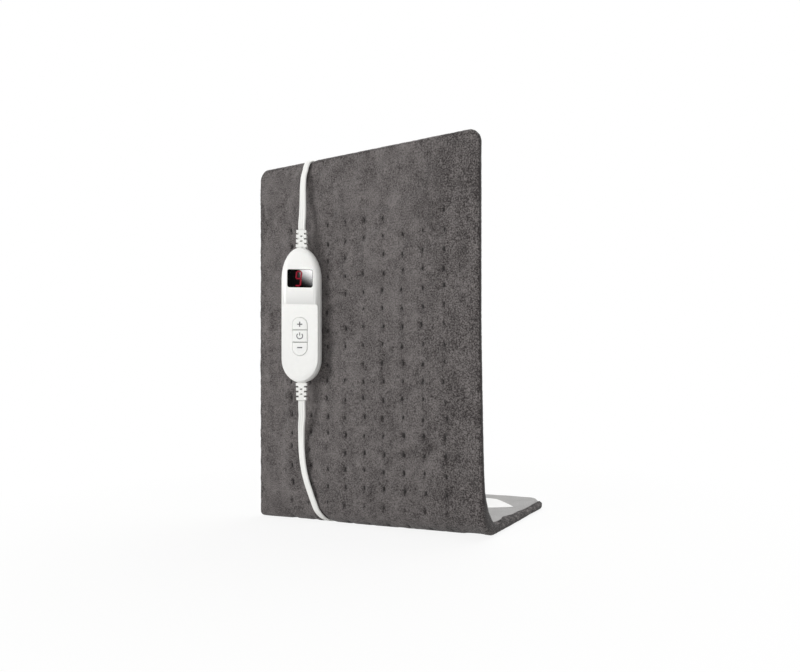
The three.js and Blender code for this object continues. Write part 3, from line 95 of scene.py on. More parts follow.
# Sewn tufts: the upper ones are pulled less
TUFT_U = 6.5 + (np.arange(9) - 4) * 25.6
TUFT_S = 80.0 + 20.0 * np.arange(23)
TUFT_DEPTH = 2.1
TUFT_SEED = 41
TUFT_SCATTER_U, TUFT_SCATTER_S = 0.7, 1.0
LEFT_COLUMN_OUT = 3.0  # the left column stands this far outside the even pattern
PULL_LEAST, PULL_MOST = 0.4, 1.0
UPPER_PULL, LOWER_GAIN = 0.65, 0.35
GAIN_RAMP = (80.0, 260.0)

# Controller
CONTROLLER_PLACE = np.array([-66.0, -16.995, 240.75])
CONTROLLER_TURN = math.radians(30)
RELIEF_TIP = 96.8
LENS_MIDDLE = 40.7
LENS_HALF_WIDTH = 14.0
LENS_HALF_HEIGHT = 10.25
LENS_FRONT = -9.2
KEY_FRONT = -10.7
KEY_MIDDLES = {"plus": -11.15, "power": -24.35, "minus": -37.35}

# Flat lead
LEAD_WIDTH = 8.0
LEAD_RIDGE = 1.5
LEAD_VALLEY = 1.1


def placed(points):
    """Millimetres from the panel's face, the floor and the middle of the pad to metres in the frame."""
    return np.asarray(points, float) * MM + np.array([0.0, FACE_Y, 0.0])


def on_controller(points):
    """The controller's own millimetres, x right, y to the rear and z up, turned about z and set in place."""
    x, y, z = np.moveaxis(np.asarray(points, float), -1, 0)
    cos, sin = math.cos(CONTROLLER_TURN), math.sin(CONTROLLER_TURN)
    return placed(np.stack([cos * x - sin * y, sin * x + cos * y, z], -1) + CONTROLLER_PLACE)


def ramp(value, start=0.0, reach=1.0):
    """Nothing up to the start, one beyond the reach, and the smooth step 3x2 - 2x3 between."""
    share = np.clip((value - start) / reach, 0, 1)
    return share * share * (3 - 2 * share)


def linked(name, data):
    """A new object in the scene."""
    made = bpy.data.objects.new(name, data)
    bpy.context.collection.objects.link(made)
    return made


# Camera: where the photograph was taken from

PHOTO_WIDTH, PHOTO_HEIGHT = 800, 672
SENSOR_WIDTH = 36.0
FOCAL_PIXELS = 587.228
PICTURE_MIDDLE = (491.0, 383.0)
CAMERA_PLACE = (412.91, -534.685, 163.495)
CAMERA_YAW = math.radians(24.92)


def make_camera():
    """A level camera, whose picture is shifted as a crop of a larger one is."""
    data = bpy.data.cameras.new("photo_camera")
    data.sensor_width = SENSOR_WIDTH
    data.lens = FOCAL_PIXELS * SENSOR_WIDTH / PHOTO_WIDTH
    data.shift_x = (PHOTO_WIDTH / 2 - PICTURE_MIDDLE[0]) / PHOTO_WIDTH
    data.shift_y = (PICTURE_MIDDLE[1] - PHOTO_HEIGHT / 2) / PHOTO_WIDTH
    camera = linked("photo_camera", data)
    camera.location = placed(CAMERA_PLACE)
    camera.rotation_euler = (math.pi / 2, 0.0, CAMERA_YAW)
    bpy.context.scene.camera = camera


# Materials


def colour(code):
    """An sRGB hex colour as linear red, green, blue and alpha."""
    values = np.array([int(code[k:k + 2], 16) for k in (0, 2, 4)]) / 255
    linear = np.where(values <= 0.04045, values / 12.92, ((values + 0.055) / 1.055) ** 2.4)
    return (*linear.tolist(), 1.0)


def per(size):
    """A texture's scale for features of this size in millimetres."""
    return 1 / (size * MM)


def add(tree, kind, inputs=None, output=0, **settings):
    """Add a node and give one of its outputs: settings are the node's own, and an input is a value or the
    socket that feeds it."""
    made = tree.nodes.new("ShaderNode" + kind)
    for name, value in settings.items():
        setattr(made, name, value)
    for key, value in (inputs or {}).items():
        if isinstance(value, bpy.types.NodeSocket):
            tree.links.new(value, made.inputs[key])
        else:
            made.inputs[key].default_value = value
    return made.outputs[output]


def start(name, values, coordinates="Object"):
    """A material with its shader's constant values set, and the socket of its texture coordinates."""
    material = bpy.data.materials.new(name)
    material.use_nodes = True
    tree = material.node_tree
    shader = tree.nodes["Principled BSDF"]
    for key, value in values.items():
        shader.inputs[key].default_value = value
    return material, tree, shader, add(tree, "TexCoord", output=coordinates)


def dress(tree, shader, low, high, factor, height, depth, strength):
    """Colour the shader between two colours by a factor, and bump it by a height, whose full swing stands for
    depth millimetres."""
    mix = add(tree, "Mix", {0: factor, 6: colour(low), 7: colour(high)}, 2, data_type="RGBA")
    bump = add(tree, "Bump", {"Height": height, "Distance": depth * MM, "Strength": strength})
    tree.links.new(mix, shader.inputs["Base Color"])
    tree.links.new(bump, shader.inputs["Normal"])


def plush_pile():
    """Micro plush, a short polyester pile: matte, paler at grazing angles, in patches where the pile leans
    another way, grained by single locks of fibre. Painted shade darkens it where a tack pulls it in, along
    its rim and sides and on the foot's hem near the floor; streaks of painted light and shade stand for soft
    vertical pleats."""
    material, tree, shader, place = start("micro_plush_pile", {
        "Roughness": 0.95, "Specular IOR Level": 0.15, "Sheen Weight": 0.18, "Sheen Roughness": 0.5})
    upright = add(tree, "Mapping", {"Vector": place, "Scale": (1.0, 1.0, 0.14)})
    # A lock of this pile is about 0.5 mm: drawn at 1.6 mm, which a pixel can show
    # The noise on upright coordinates gives streaks of painted light and shade for soft vertical pleats
    lean, patch, pleat_shade, lock = (
        add(tree, "TexNoise", {
            "Vector": vector, "Scale": per(size), "Detail": detail, "Roughness": rough, "Distortion": twist})
        for vector, size, detail, rough, twist in (
            (place, 26, 3.0, 0.6, 0.8), (place, 7, 2.0, 0.5, 0.0), (upright, 13, 1.0, 0.5, 0.0),
            (place, 1.6, 2.0, 0.75, 0.0)))
    # Per point: the rim's share, which darkens the rim as painted shade and coarsens its grain; painted shade
    # at the tack pits, on the side rims and on the foot's hem near the floor; and the hem's share of clumped
    # pile
    rim, painted_shade, hem = (
        add(tree, "Attribute", output="Fac", attribute_name=name) for name in ("rim", "painted_shade", "hem"))
    swing, centred, clump = (
        add(tree, "Math", {0: source, 1: gain, 2: rest}, operation="MULTIPLY_ADD")
        for source, gain, rest in ((rim, 1.3, 2.4), (lock, 1.0, -0.5), (patch, 2.2, -1.3)))
    level = -0.33
    # The pile's own tone comes from the grain, the lean and the patches; the rim, the upright streaks and the
    # shade attribute add painted light and shade
    for source, weight in (
            (centred, swing), (rim, -0.13), (lean, 0.95), (patch, 0.4), (pleat_shade, 0.35), (painted_shade, -0.9),
            (hem, clump)):
        level = add(tree, "Math", {0: source, 1: weight, 2: level}, operation="MULTIPLY_ADD")
    dress(tree, shader, "312d2d", "7a7574", level, lock, 0.9, 0.7)
    return material


def brushed_flannel():
    """Brushed flannel, woven and napped on one side: soft, pale, with short fibres lying along the cloth."""
    material, tree, shader, place = start("brushed_flannel", {
        "Roughness": 0.95, "Specular IOR Level": 0.15, "Sheen Weight": 0.12, "Sheen Roughness": 0.5}, "UV")
    fibre = add(tree, "Mapping", {"Vector": place, "Scale": (1.0, 0.35, 1.0)})
    nap = add(tree, "TexNoise", {
        "Vector": fibre, "Scale": per(1.4), "Detail": 3.0, "Roughness": 0.7})
    cloud = add(tree, "TexNoise", {"Vector": place, "Scale": per(22), "Detail": 2.0})
    level = -0.6
    for source, weight in ((cloud, 0.7), (nap, 1.5)):
        level = add(tree, "Math", {0: source, 1: weight, 2: level}, operation="MULTIPLY_ADD")
    dress(tree, shader, "9c9b9a", "b7b6b5", level, nap, 0.5, 0.5)
    return material


def moulded(name, low, high, roughness, grit, depth, extra=None):
    """Plastic out of a spark-eroded mould: even colour with a faint cloud, and a fine grit in the gloss."""
    material, tree, shader, place = start(name, {"Roughness": roughness, "IOR": 1.5, **(extra or {})})
    cloud = add(tree, "TexNoise", {"Vector": place, "Scale": per(18), "Detail": 2.0})
    pits = add(tree, "TexNoise", {"Vector": place, "Scale": per(grit), "Detail": 1.0})
    dress(tree, shader, low, high, cloud, pits, depth, 0.4)
    return material


def metal(name, low, high, roughness, grain):
    """Drawn or plated metal with fine lines along its length."""
    material, tree, shader, place = start(name, {"Metallic": 1.0, "Roughness": roughness})
    lines = add(tree, "Mapping", {"Vector": place, "Scale": (1.0, 0.1, 1.0)})
    streak = add(tree, "TexNoise", {"Vector": lines, "Scale": per(grain), "Detail": 2.0})
    dress(tree, shader, low, high, streak, streak, 0.05, 0.5)
    return material


def felt_fibre():
    """Non-woven polyester felt: tangled pale fibres."""
    material, tree, shader, place = start("needled_felt", {"Roughness": 1.0, "Specular IOR Level": 0.1})
    tangle = add(tree, "TexNoise", {
        "Vector": place, "Scale": per(2), "Detail": 4.0, "Roughness": 0.7, "Distortion": 2.0})
    dress(tree, shader, "c9c4b6", "e2ddd2", tangle, tangle, 0.4, 0.6)
    return material


def make_materials():
    """A material for each slot, and those of the digit, the keys' print, the label and the thread."""
    clear = {"Transmission Weight": 0.8}
    dim = {"Specular IOR Level": 0.03}
    glow = {"Emission Color": colour("d8142c"), "Emission Strength": 0.18, "Specular IOR Level": 0.1}
    return {
        "plush": plush_pile(),
        "flannel": brushed_flannel(),
        "felt": felt_fibre(),
        "silicone": moulded("silicone_sleeve", "ae4a26", "bb5a34", 0.5, 0.8, 0.02),
        "white_housing": moulded("satin_white_abs", "efefed", "f3f3f1", 0.36, 0.7, 0.02),
        "key_plastic": moulded("white_key_abs", "edeeec", "f1f1ef", 0.42, 0.7, 0.02),
        "smoked_lens": moulded("polished_black_acrylic", "020202", "030304", 0.035, 3.0, 0.002, dim),
        "dark_plastic": moulded("black_nylon", "1a1a1c", "222224", 0.5, 0.6, 0.03),
        "board": moulded("green_solder_mask", "28603a", "327244", 0.4, 1.5, 0.02),
        "brass": metal("rolled_brass", "c29a44", "d0ad5c", 0.28, 0.3),
        "steel": metal("zinc_plated_steel", "aeb0b2", "bfc1c4", 0.32, 0.3),
        "white_lead": moulded("soft_white_pvc", "eaeae7", "f0f0ed", 0.45, 0.9, 0.03),
        "film_capacitor": moulded("yellow_epoxy", "c39a36", "cfa842", 0.5, 1.0, 0.03),
        "capacitor_sleeve": moulded("blue_shrink_sleeve", "222d44", "2a3852", 0.4, 1.0, 0.02),
        "fuse_glass": moulded("fuse_glass", "ccd4d4", "d6dddd", 0.06, 4.0, 0.002, clear),
        "digit": moulded("lit_red_segment", "660c20", "701024", 0.35, 1.0, 0.005, glow),
        "print": moulded("grey_pad_print", "6a6a6c", "747476", 0.5, 0.8, 0.005),
        "label": moulded("white_satin_weave", "f0f0ee", "f5f5f4", 0.55, 0.8, 0.05),
        "thread": moulded("dark_polyester_thread", "171514", "211e1d", 0.8, 0.5, 0.1),
    }


MATERIALS = make_materials()

# Pieces

SHARP_ANGLE = math.radians(34)
FLAT_ANGLE = math.radians(0.5)
MERGE_DISTANCE = 1e-6
EDGE_RADIUS = {
    "connector_plug": 0.4, "coil_tie": 0.3, "plug_relief": 0.2, "plug_blade_1": 0.3, "plug_blade_2": 0.3,
    "display_lens": 0.15, "upper_strain_relief": 0.35, "lower_strain_relief": 0.35, "pad_socket": 0.4,
}


def new_mesh(name, points, faces):
    """A mesh from points in metres and faces by point number."""
    mesh = bpy.data.meshes.new(name)
    mesh.from_pydata(np.asarray(points).reshape(-1, 3).tolist(), [], faces)
    return mesh


def set_out(name, mesh, look, nodes, body):
    """A mesh as a piece of the object: with its material, riding on a body, in place of solids."""
    mesh.materials.clear()
    mesh.materials.append(MATERIALS[look])
    piece = linked(name, mesh)
    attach(piece, body)
    if nodes:
        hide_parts(*nodes)
    return piece


def make_piece(name, points, faces, look, nodes=(), body=ROOT, closed=True):
    """A smooth piece of its own shape."""
    mesh = new_mesh(name, points, faces)
    if closed:
        turn_outwards(mesh)
    mesh.shade_smooth()
    return set_out(name, mesh, look, nodes, body)


def turn_outwards(mesh):
    """Let every face of a closed mesh look outwards."""
    work = bmesh.new()
    work.from_mesh(mesh)
    bmesh.ops.recalc_face_normals(work, faces=work.faces)
    work.to_mesh(mesh)
    work.free()


def grid_faces(rows, columns, wrap=False):
    """Quads between neighbouring rows and columns, the last column joined to the first where it wraps."""
    row = np.arange(rows - 1)[:, None] * columns
    column = np.arange(columns if wrap else columns - 1)[None, :]
    after = (column + 1) % columns
    quads = [row + column, row + after, row + columns + after, row + columns + column]
    return np.stack(quads, -1).reshape(-1, 4)


def tube(rings):
    """Points and faces of closed rings joined one after another, with a flat cap at both ends."""
    count, around = rings.shape[:2]
    faces = grid_faces(count, around, wrap=True).tolist()
    faces.append(list(range(around))[::-1])
    faces.append(list(range((count - 1) * around, count * around)))
    return rings.reshape(-1, 3), faces


def joined(parts):
    """Several parts' points and faces as those of one mesh."""
    points, faces, count = [], [], 0
    for part_points, part_faces in parts:
        points.append(part_points)
        faces += [[number + count for number in face] for face in part_faces]
        count += len(part_points)
    return np.vstack(points), faces


def directions(path):
    """A path's direction at each of its points, of length one."""
    along = np.gradient(path, axis=0)
    return along / np.linalg.norm(along, axis=1)[:, None]


def keep_attribute(piece, name, values):
    """Keep a value for every point of a piece, which its material can read."""
    layer = piece.data.attributes.new(name, "FLOAT", "POINT")
    layer.data.foreach_set("value", np.asarray(values, np.float32).ravel())


def moulding(node):
    """A copy of a solid with its loose corners merged and its flat facets joined: smooth but for sharp edges,
    which get a small radius where one is given."""
    mesh = frame["nodes"][node].data.copy()
    work = bmesh.new()
    work.from_mesh(mesh)
    bmesh.ops.remove_doubles(work, verts=work.verts, dist=MERGE_DISTANCE)
    bmesh.ops.dissolve_limit(work, angle_limit=FLAT_ANGLE, verts=work.verts, edges=work.edges)
    work.to_mesh(mesh)
    work.free()
    mesh.shade_smooth()
    mesh.set_sharp_from_angle(angle=SHARP_ANGLE)
    piece = set_out("finished_" + node, mesh, SUBPARTS[node], [node], BODY_OF[node])
    if node in EDGE_RADIUS:
        bevel = piece.modifiers.new("edge_radius", "BEVEL")
        bevel.width = EDGE_RADIUS[node] * MM
        bevel.segments = 2
        bevel.limit_method = "ANGLE"
        bevel.angle_limit = SHARP_ANGLE
        bevel.harden_normals = True
    return piece


# Leads: x, y, z in millimetres, then the turn about z and the lift of the lead's flat side, in degrees

PAD_LEAD_ROUTE = np.array([
    [-67, -15.2, 352, 27, 0], [-68.6, -12.8, 364, 19, 0], [-71, -10, 378, 10, 0], [-73.6, -6.9, 394, 3, 0],
    [-74.6, -4.2, 406, 0, 0], [-73.4, -3.1, 412.5, 0, 0], [-72.4, -2.6, 417.3, 0, 0],
    [-71.4, -0.6, 422.1, 0, 0], [-70.4, 5, 424.6, 0, 0], [-69.4, 10.6, 422.1, 0, 0],
    [-68.6, 12.9, 417.3, 0, 0], [-67.8, 12.8, 410, 0, 0], [-66.4, 12.4, 394, 6, 0], [-65.2, 12.6, 370, 18, 0],
    [-64.4, 13.2, 335, 36, 0], [-64, 13.9, 295, 54, 0], [-64, 14.5, 250, 72, 0], [-64, 14.8, 200, 86, 0],
    [-64, 14.8, 150, 90, 0], [-64, 14.8, 110, 90, 0], [-61.5, 14.8, 100.5, 90, 0],
    [-54.5, 14.8, 93.5, 90, 0], [-45, 14.8, 91, 90, 0], [-35.5, 14.8, 93.5, 90, 0],
    [-28.5, 14.8, 100.5, 90, 0], [-26, 14.8, 110, 90, 0], [-26, 14.8, 150, 86, 0], [-26, 14.9, 195, 64, 0],
    [-26, 15, 240, 36, 0], [-26, 15.1, 280, 12, 0], [-26, 15.1, 305, 0, 0], [-26, 15.0, 321.7, 0, 0],
])
MAINS_LEAD_ROUTE = np.array([
    [-68.2, -14.1, 126, 24, 0], [-72.6, -10.5, 115, 17, 0], [-76, -7, 103, 12, 0], [-77.6, -5, 90, 9, 0],
    [-76.8, -4.6, 76, 6, 0], [-74.6, -4.2, 62, 3, 0], [-71, -3.8, 49, 1, 0], [-66.6, -3.4, 37.5, 0, 0],
    [-61.8, -2.8, 26, 0, 0], [-57.4, -1, 14.8, 0, 0], [-54.2, 4, 7.4, 0, 0], [-51.8, 11.3, 2.9, 0, 0],
    [-50.5, 19, 1.7, 0, 0], [-50, 30, 1.7, 0, 0], [-50, 60, 1.7, 0, 0], [-50, 110, 1.7, 0, 0],
    [-50, 160, 1.7, 0, 0], [-50, 204, 1.7, 0, 8], [-50, 218, 2.6, 0, 30], [-50, 234, 4, 0, 56],
    [-50, 250, 5.2, 0, 80],
])
PLUG_TAIL_ROUTE = np.array([
    [-118, 315.2, 13.6, 180, 84], [-136, 310, 11.4, 198, 66], [-151, 300, 9.2, 216, 42],
    [-161, 287, 7.9, 246, 18], [-165.2, 274, 7.6, 262, 4], [-166, 262.3, 7.6, 270, 0],
])
PAD_LEAD_SPACING = 2.0  # between the rings of a lead
MAINS_LEAD_SPACING = 2.4
RELIEF_GAP = 0.3  # from the relief's tip to the lead's first ring
RELIEF_DEPTH = 0.15  # of the lead behind the relief's middle
ON_MAINS_LEAD = ("coil_tie", "plug_relief", "plug_body", "plug_blade_1", "plug_blade_2")

COIL_START = np.array([-50.0, 268.0, 5.7])
COIL_RADIUS = 48.0
COIL_PITCH = 3.7
COIL_LAYER = 8.6
COIL_TURNS = 5.25
COIL_CLIMB_TURNS = 0.5
COIL_STEP = 1 / 24


def coil_route():
    """Turns about a fixed middle: the radius falls by the pitch with each turn of the lower layer, the half
    turn at the middle climbs by one layer as 3c2 - 2c3, and the upper layer's radius grows again."""
    turns = np.arange(0, COIL_TURNS + 0.01, COIL_STEP)
    spiral = (COIL_TURNS - COIL_CLIMB_TURNS) / 2
    climb = np.clip((turns - spiral) / COIL_CLIMB_TURNS, 0, 1)
    inward = np.minimum(turns, spiral) - np.maximum(turns - spiral - COIL_CLIMB_TURNS, 0)
    radius = COIL_RADIUS - COIL_PITCH * (inward + COIL_CLIMB_TURNS * climb * (1 - climb))
    angle = 2 * math.pi * turns
    middle = COIL_START - np.array([COIL_RADIUS, 0, 0])
    x = middle[0] + radius * np.cos(angle)
    y = middle[1] + radius * np.sin(angle)
    z = middle[2] + COIL_LAYER * ramp(climb)
    return np.stack([x, y, z, 180 * turns / COIL_TURNS, np.full_like(x, 90.0)], -1)


def out_of_relief(end):
    """The first two points of a lead: at the tip of the controller's relief and straight on from it."""
    x, y, z = CONTROLLER_PLACE
    x -= math.sin(CONTROLLER_TURN) * RELIEF_DEPTH
    y += math.cos(CONTROLLER_TURN) * RELIEF_DEPTH
    first = RELIEF_TIP + RELIEF_GAP
    turn = math.degrees(CONTROLLER_TURN)
    return np.array([[x, y, z + end * reach, turn, 0.0] for reach in (first, first + LEAD_WIDTH)])


def flowing(knots, spacing):
    """A cubic through the knots, parted by arc length: each knot's slope is the mean of the slopes on both
    sides, each weighted by the length of the other side."""
    length = np.linalg.norm(np.diff(knots[:, :3], axis=0), axis=1)
    along = np.concatenate([[0.0], np.cumsum(length)])
    slope = np.diff(knots, axis=0) / length[:, None]
    before, after = length[:-1, None], length[1:, None]
    inner = (slope[1:] * before + slope[:-1] * after) / (before + after)
    tangent = np.vstack([slope[:1], inner, slope[-1:]])
    at = np.linspace(0, along[-1], int(along[-1] / spacing) + 1)
    k = np.clip(np.searchsorted(along, at, "right") - 1, 0, len(length) - 1)
    h = length[k][:, None]
    t = ((at - along[k]) / length[k])[:, None]
    first = (2 * t ** 3 - 3 * t ** 2 + 1) * knots[k] + (t ** 3 - 2 * t ** 2 + t) * h * tangent[k]
    return first + (3 * t ** 2 - 2 * t ** 3) * knots[k + 1] + (t ** 3 - t ** 2) * h * tangent[k + 1]


def lead_section():
    """The flat lead's outline: three ridges, whose half height swings by a cosine between ridge and valley
    and closes in a quarter circle at both sides."""
    steps = 19
    wide = LEAD_WIDTH / 2 * np.sin(np.linspace(-math.pi / 2, math.pi / 2, steps))
    mean, swing = (LEAD_RIDGE + LEAD_VALLEY) / 2, (LEAD_RIDGE - LEAD_VALLEY) / 2
    ridge = mean + swing * np.cos(2 * math.pi * wide / (LEAD_WIDTH / 3))
    past = np.maximum(np.abs(wide) - (LEAD_WIDTH / 2 - LEAD_RIDGE), 0) / LEAD_RIDGE
    half = ridge * np.sqrt(np.maximum(1 - past ** 2, 0))
    upper = np.stack([wide, half], -1)
    lower = np.stack([wide, -half], -1)[-2:0:-1]
    return np.vstack([upper, lower])


def lead(name, path, nodes):
    """The lead's section carried along its path: its wide side turns and lifts as the path says."""
    centre, turn, lift = path[:, :3], np.radians(path[:, 3]), np.radians(path[:, 4])
    along = directions(centre)
    wide = np.stack([np.cos(lift) * np.cos(turn), np.cos(lift) * np.sin(turn), np.sin(lift)], -1)
    wide -= along * np.sum(wide * along, axis=1)[:, None]
    wide /= np.linalg.norm(wide, axis=1)[:, None]
    thin = np.cross(along, wide)
    section = lead_section()
    rings = centre[:, None] + wide[:, None] * section[None, :, :1] + thin[:, None] * section[None, :, 1:]
    points, faces = tube(placed(rings))
    piece = make_piece(name, points, faces, "white_lead", nodes=nodes)


def make_leads():
    """Both leads, each with the pieces at its far end. Gives the mains lead's path."""
    plug = moulding("connector_plug")
    pad_path = flowing(np.vstack([out_of_relief(1), PAD_LEAD_ROUTE]), PAD_LEAD_SPACING)
    lead("pad_lead_cord", pad_path, ["pad_lead"])
    on_mains = [moulding(node) for node in ON_MAINS_LEAD]
    mains_knots = np.vstack([out_of_relief(-1), MAINS_LEAD_ROUTE, coil_route(), PLUG_TAIL_ROUTE])
    mains_path = flowing(mains_knots, MAINS_LEAD_SPACING)
    lead("mains_lead_cord", mains_path,
         ["mains_lead", "mains_coil", "plug_tail"])
    return mains_path


# Pad: u across, s along from the top edge and n in from the plush face, in millimetres


def bend_at(u):
    """The bend's outside radius, which grows evenly from the left edge to the right one, the straight run on
    either side of it in its zone, and its arc half way through the pad."""
    radius = BEND_LEFT + (BEND_RIGHT - BEND_LEFT) * (u / PAD_WIDTH + 0.5)
    return radius, BEND_ZONE - radius, (radius - ROLL) * math.pi / 2


def slide(u, y, z):
    """How far back the pad has slid: more towards the right edge and towards the floor, as a power of the
    lost height, and less again along the foot, whose back edge stays."""
    share = ramp(u, SLIDE_START, PAD_WIDTH / 2 - SLIDE_START)
    drop = np.clip((SLIDE_TOP - z) / SLIDE_TOP, 0, 1)
    return SLIDE_RIGHT * share * drop ** SLIDE_POWER * (1 - ramp(y, BEND_RIGHT, FOOT_DEPTH - BEND_RIGHT))


def on_pad(u, s, n):
    """Across, along and in from the plush face: straight down the panel, a quarter circle of radius R - n
    round the bend, squarer at the left edge as a superellipse, then straight back along the foot. R follows
    u, in the zone of the bend the length along the pad is shared out evenly, and n grows by a bunching that
    rises as a smooth step and falls as 1 - x2, to a crease where the foot begins. The foot spreads and
    thickens towards its right back corner."""
    u, s, n = np.broadcast_arrays(u, s, n)
    radius, straight, arc = bend_at(u)
    part = np.clip((s - ZONE_START) / ZONE_LENGTH, 0, 1)
    along = part * (2 * straight + arc)
    turn = np.clip((along - straight) / arc, 0, 1) * math.pi / 2
    foot = np.maximum(along - straight - arc, 0) + np.maximum(s - ZONE_START - ZONE_LENGTH, 0)
    panel = np.maximum(straight - along, 0) + np.maximum(ZONE_START - s, 0)
    falling = np.maximum(part - BUNCH_TOP, 0) / BUNCH_FALL
    swell = ramp(part, *BUNCH_RAMP) * np.clip(1 - falling ** 2, 0, 1)
    right = np.clip(u / PAD_WIDTH + 0.5, 0, 1) ** 2
    fuller = BUNCHING * swell + FOOT_CROWN * ramp(s, *CROWN_RAMP)
    n = n + right * fuller * (n / PAD_THICKNESS) ** 2
    power = 1 - LEFT_SQUARENESS * ramp(-u, *SQUARE_RAMP)
    y = radius - (radius - n) * np.cos(turn) ** power + foot
    z = radius - (radius - n) * np.sin(turn) ** power + panel
    flare = FOOT_FLARE * ramp(s, *FLARE_RAMP) * np.clip(2 * u / PAD_WIDTH, 0, 1)
    drawn = LEFT_DRAW * ramp(s, *DRAW_RAMP) * ramp(-u, 0, PAD_WIDTH / 2)
    return placed(np.stack([u + flare + drawn, y + slide(u, y, z), z], -1))


def off_pad(points):
    """The pad coordinates of points left of where the pad has slid, the reverse of on_pad."""
    x, y, z = points.T
    radius, straight, arc = bend_at(x)
    turn = np.arctan2(radius - z, radius - y) / (math.pi / 2)
    on_panel, on_foot = z >= radius, y >= radius
    along = np.where(on_foot, straight + arc + y - radius, straight + arc * turn)
    along = np.where(on_panel, BEND_ZONE - z, along)
    s = ZONE_START + along * ZONE_LENGTH / (2 * straight + arc)
    s = np.where(z > BEND_ZONE, PANEL_HEIGHT - z, s)
    s = np.where(y > BEND_ZONE, ZONE_START + ZONE_LENGTH + y - BEND_ZONE, s)
    in_bend = radius - np.hypot(radius - y, radius - z)
    return x, s, np.where(on_foot, z, np.where(on_panel, y, in_bend))


def between(heights, a, b):
    """A net's heights at places counted in meshes, blended by smooth steps between its crossings. The net
    repeats past its end."""
    i, j = np.floor(a).astype(int), np.floor(b).astype(int)
    p, q = ramp(a - i), ramp(b - j)
    rows, columns = heights.shape
    i, j, next_i, next_j = i % rows, j % columns, (i + 1) % rows, (j + 1) % columns
    first = heights[i, j] * (1 - p) + heights[next_i, j] * p
    second = heights[i, next_j] * (1 - p) + heights[next_i, next_j] * p
    return first * (1 - q) + second * q


def noise(u, s, size, seed):
    """Random heights from -1 to 1 at the crossings of a net of the given mesh size, blended between them."""
    count = 512
    heights = np.random.default_rng(seed).uniform(-1, 1, (count, count))
    return between(heights, u / size, s / size)


def waves(u, s, kinds):
    """A sum of noises: each kind has a mesh size, a seed, a height and how often longer than wide it is."""
    return sum(noise(u, s / longer, size, seed) * height for size, seed, height, longer in kinds)


def tuft_places():
    """Every tack's place on the pad, a little off the even pattern, and how hard it is pulled."""
    draw = np.random.default_rng(TUFT_SEED)
    u, s = np.meshgrid(TUFT_U, TUFT_S, indexing="ij")
    u = u + draw.normal(0, TUFT_SCATTER_U, u.shape)
    u[0] -= LEFT_COLUMN_OUT
    s = s + draw.normal(0, TUFT_SCATTER_S, s.shape)
    gain = UPPER_PULL + LOWER_GAIN * ramp(s, *GAIN_RAMP)
    pull = draw.uniform(PULL_LEAST, PULL_MOST, u.shape) * gain
    return u.ravel(), s.ravel(), pull.ravel()


def tuft_field(u, s, across, along):
    """The sum of bells of the given half widths at the tacks, for points of the pad."""
    total = np.zeros(np.broadcast(u, s).shape)
    for tuft_u, tuft_s, pull in zip(*tuft_places()):
        near = (np.abs(u - tuft_u) < 3 * across) & (np.abs(s - tuft_s) < 3 * along)
        bell = np.exp(-((u[near] - tuft_u) / across) ** 2 - ((s[near] - tuft_s) / along) ** 2)
        total[near] += pull * bell
    return total


GROOVE_START = PANEL_RUN - 60
GROOVE_BACK = 214.0  # behind the foot, where the lead has left it
GROOVE_GAP = 0.5  # between the lead and the plush under it
GROOVE_SIDE = 0.6  # and beside it
GROOVE_SHOULDER = 5.0


def groove_depth(u, s, mains_path):
    """How far in the lead presses the plush on its way round the bend and under the foot."""
    lead_u, lead_s, lead_n = off_pad(mains_path[:, :3])
    order = slice(np.argmax(lead_s > GROOVE_START), np.argmax(mains_path[:, 1] > GROOVE_BACK))
    middle = np.interp(s, lead_s[order], lead_u[order])
    floor = np.interp(s, lead_s[order], lead_n[order]) + LEAD_RIDGE + GROOVE_GAP
    shoulder = 1 - ramp(np.abs(u - middle), LEAD_WIDTH / 2 + GROOVE_SIDE, GROOVE_SHOULDER)
    return np.where(s > GROOVE_START, np.maximum(floor, 0) * shoulder, 0)


def pad_rim(half, top, bottom, inset):
    """Half the width at each s for a rounded rectangle, as W - r + sqrt(r2 - rise2) in the corners, whose
    radii are the pad's less the inset."""
    def half_width(s):
        ends = []
        for corner, gap in ((PAD_CORNER - inset, s - top), (FOOT_CORNER - inset, bottom - s)):
            rise = np.clip(corner - gap, 0, corner)
            ends.append(half - corner + np.sqrt(corner ** 2 - rise ** 2))
        return np.minimum(*ends)
    return half_width


SHEET_STEP = 5.0
SHEET_FRAMES = 18
SHEET_CAP = 1.2
SHEET_BORDER = 8.0  # held along this border, and where a tack's bell is this high
SHEET_HELD = 0.35
SHEET_BELL = 4.0
SHEET_DIP = 0.5
CLOTH_SETTINGS = {
    "vertex_group_mass": "held", "mass": 0.25, "quality": 6, "tension_stiffness": 12,
    "compression_stiffness": 12, "bending_stiffness": 0.8, "air_damping": 3, "shrink_min": -0.02,
    "use_pressure": True, "uniform_pressure_force": 2.0,
}


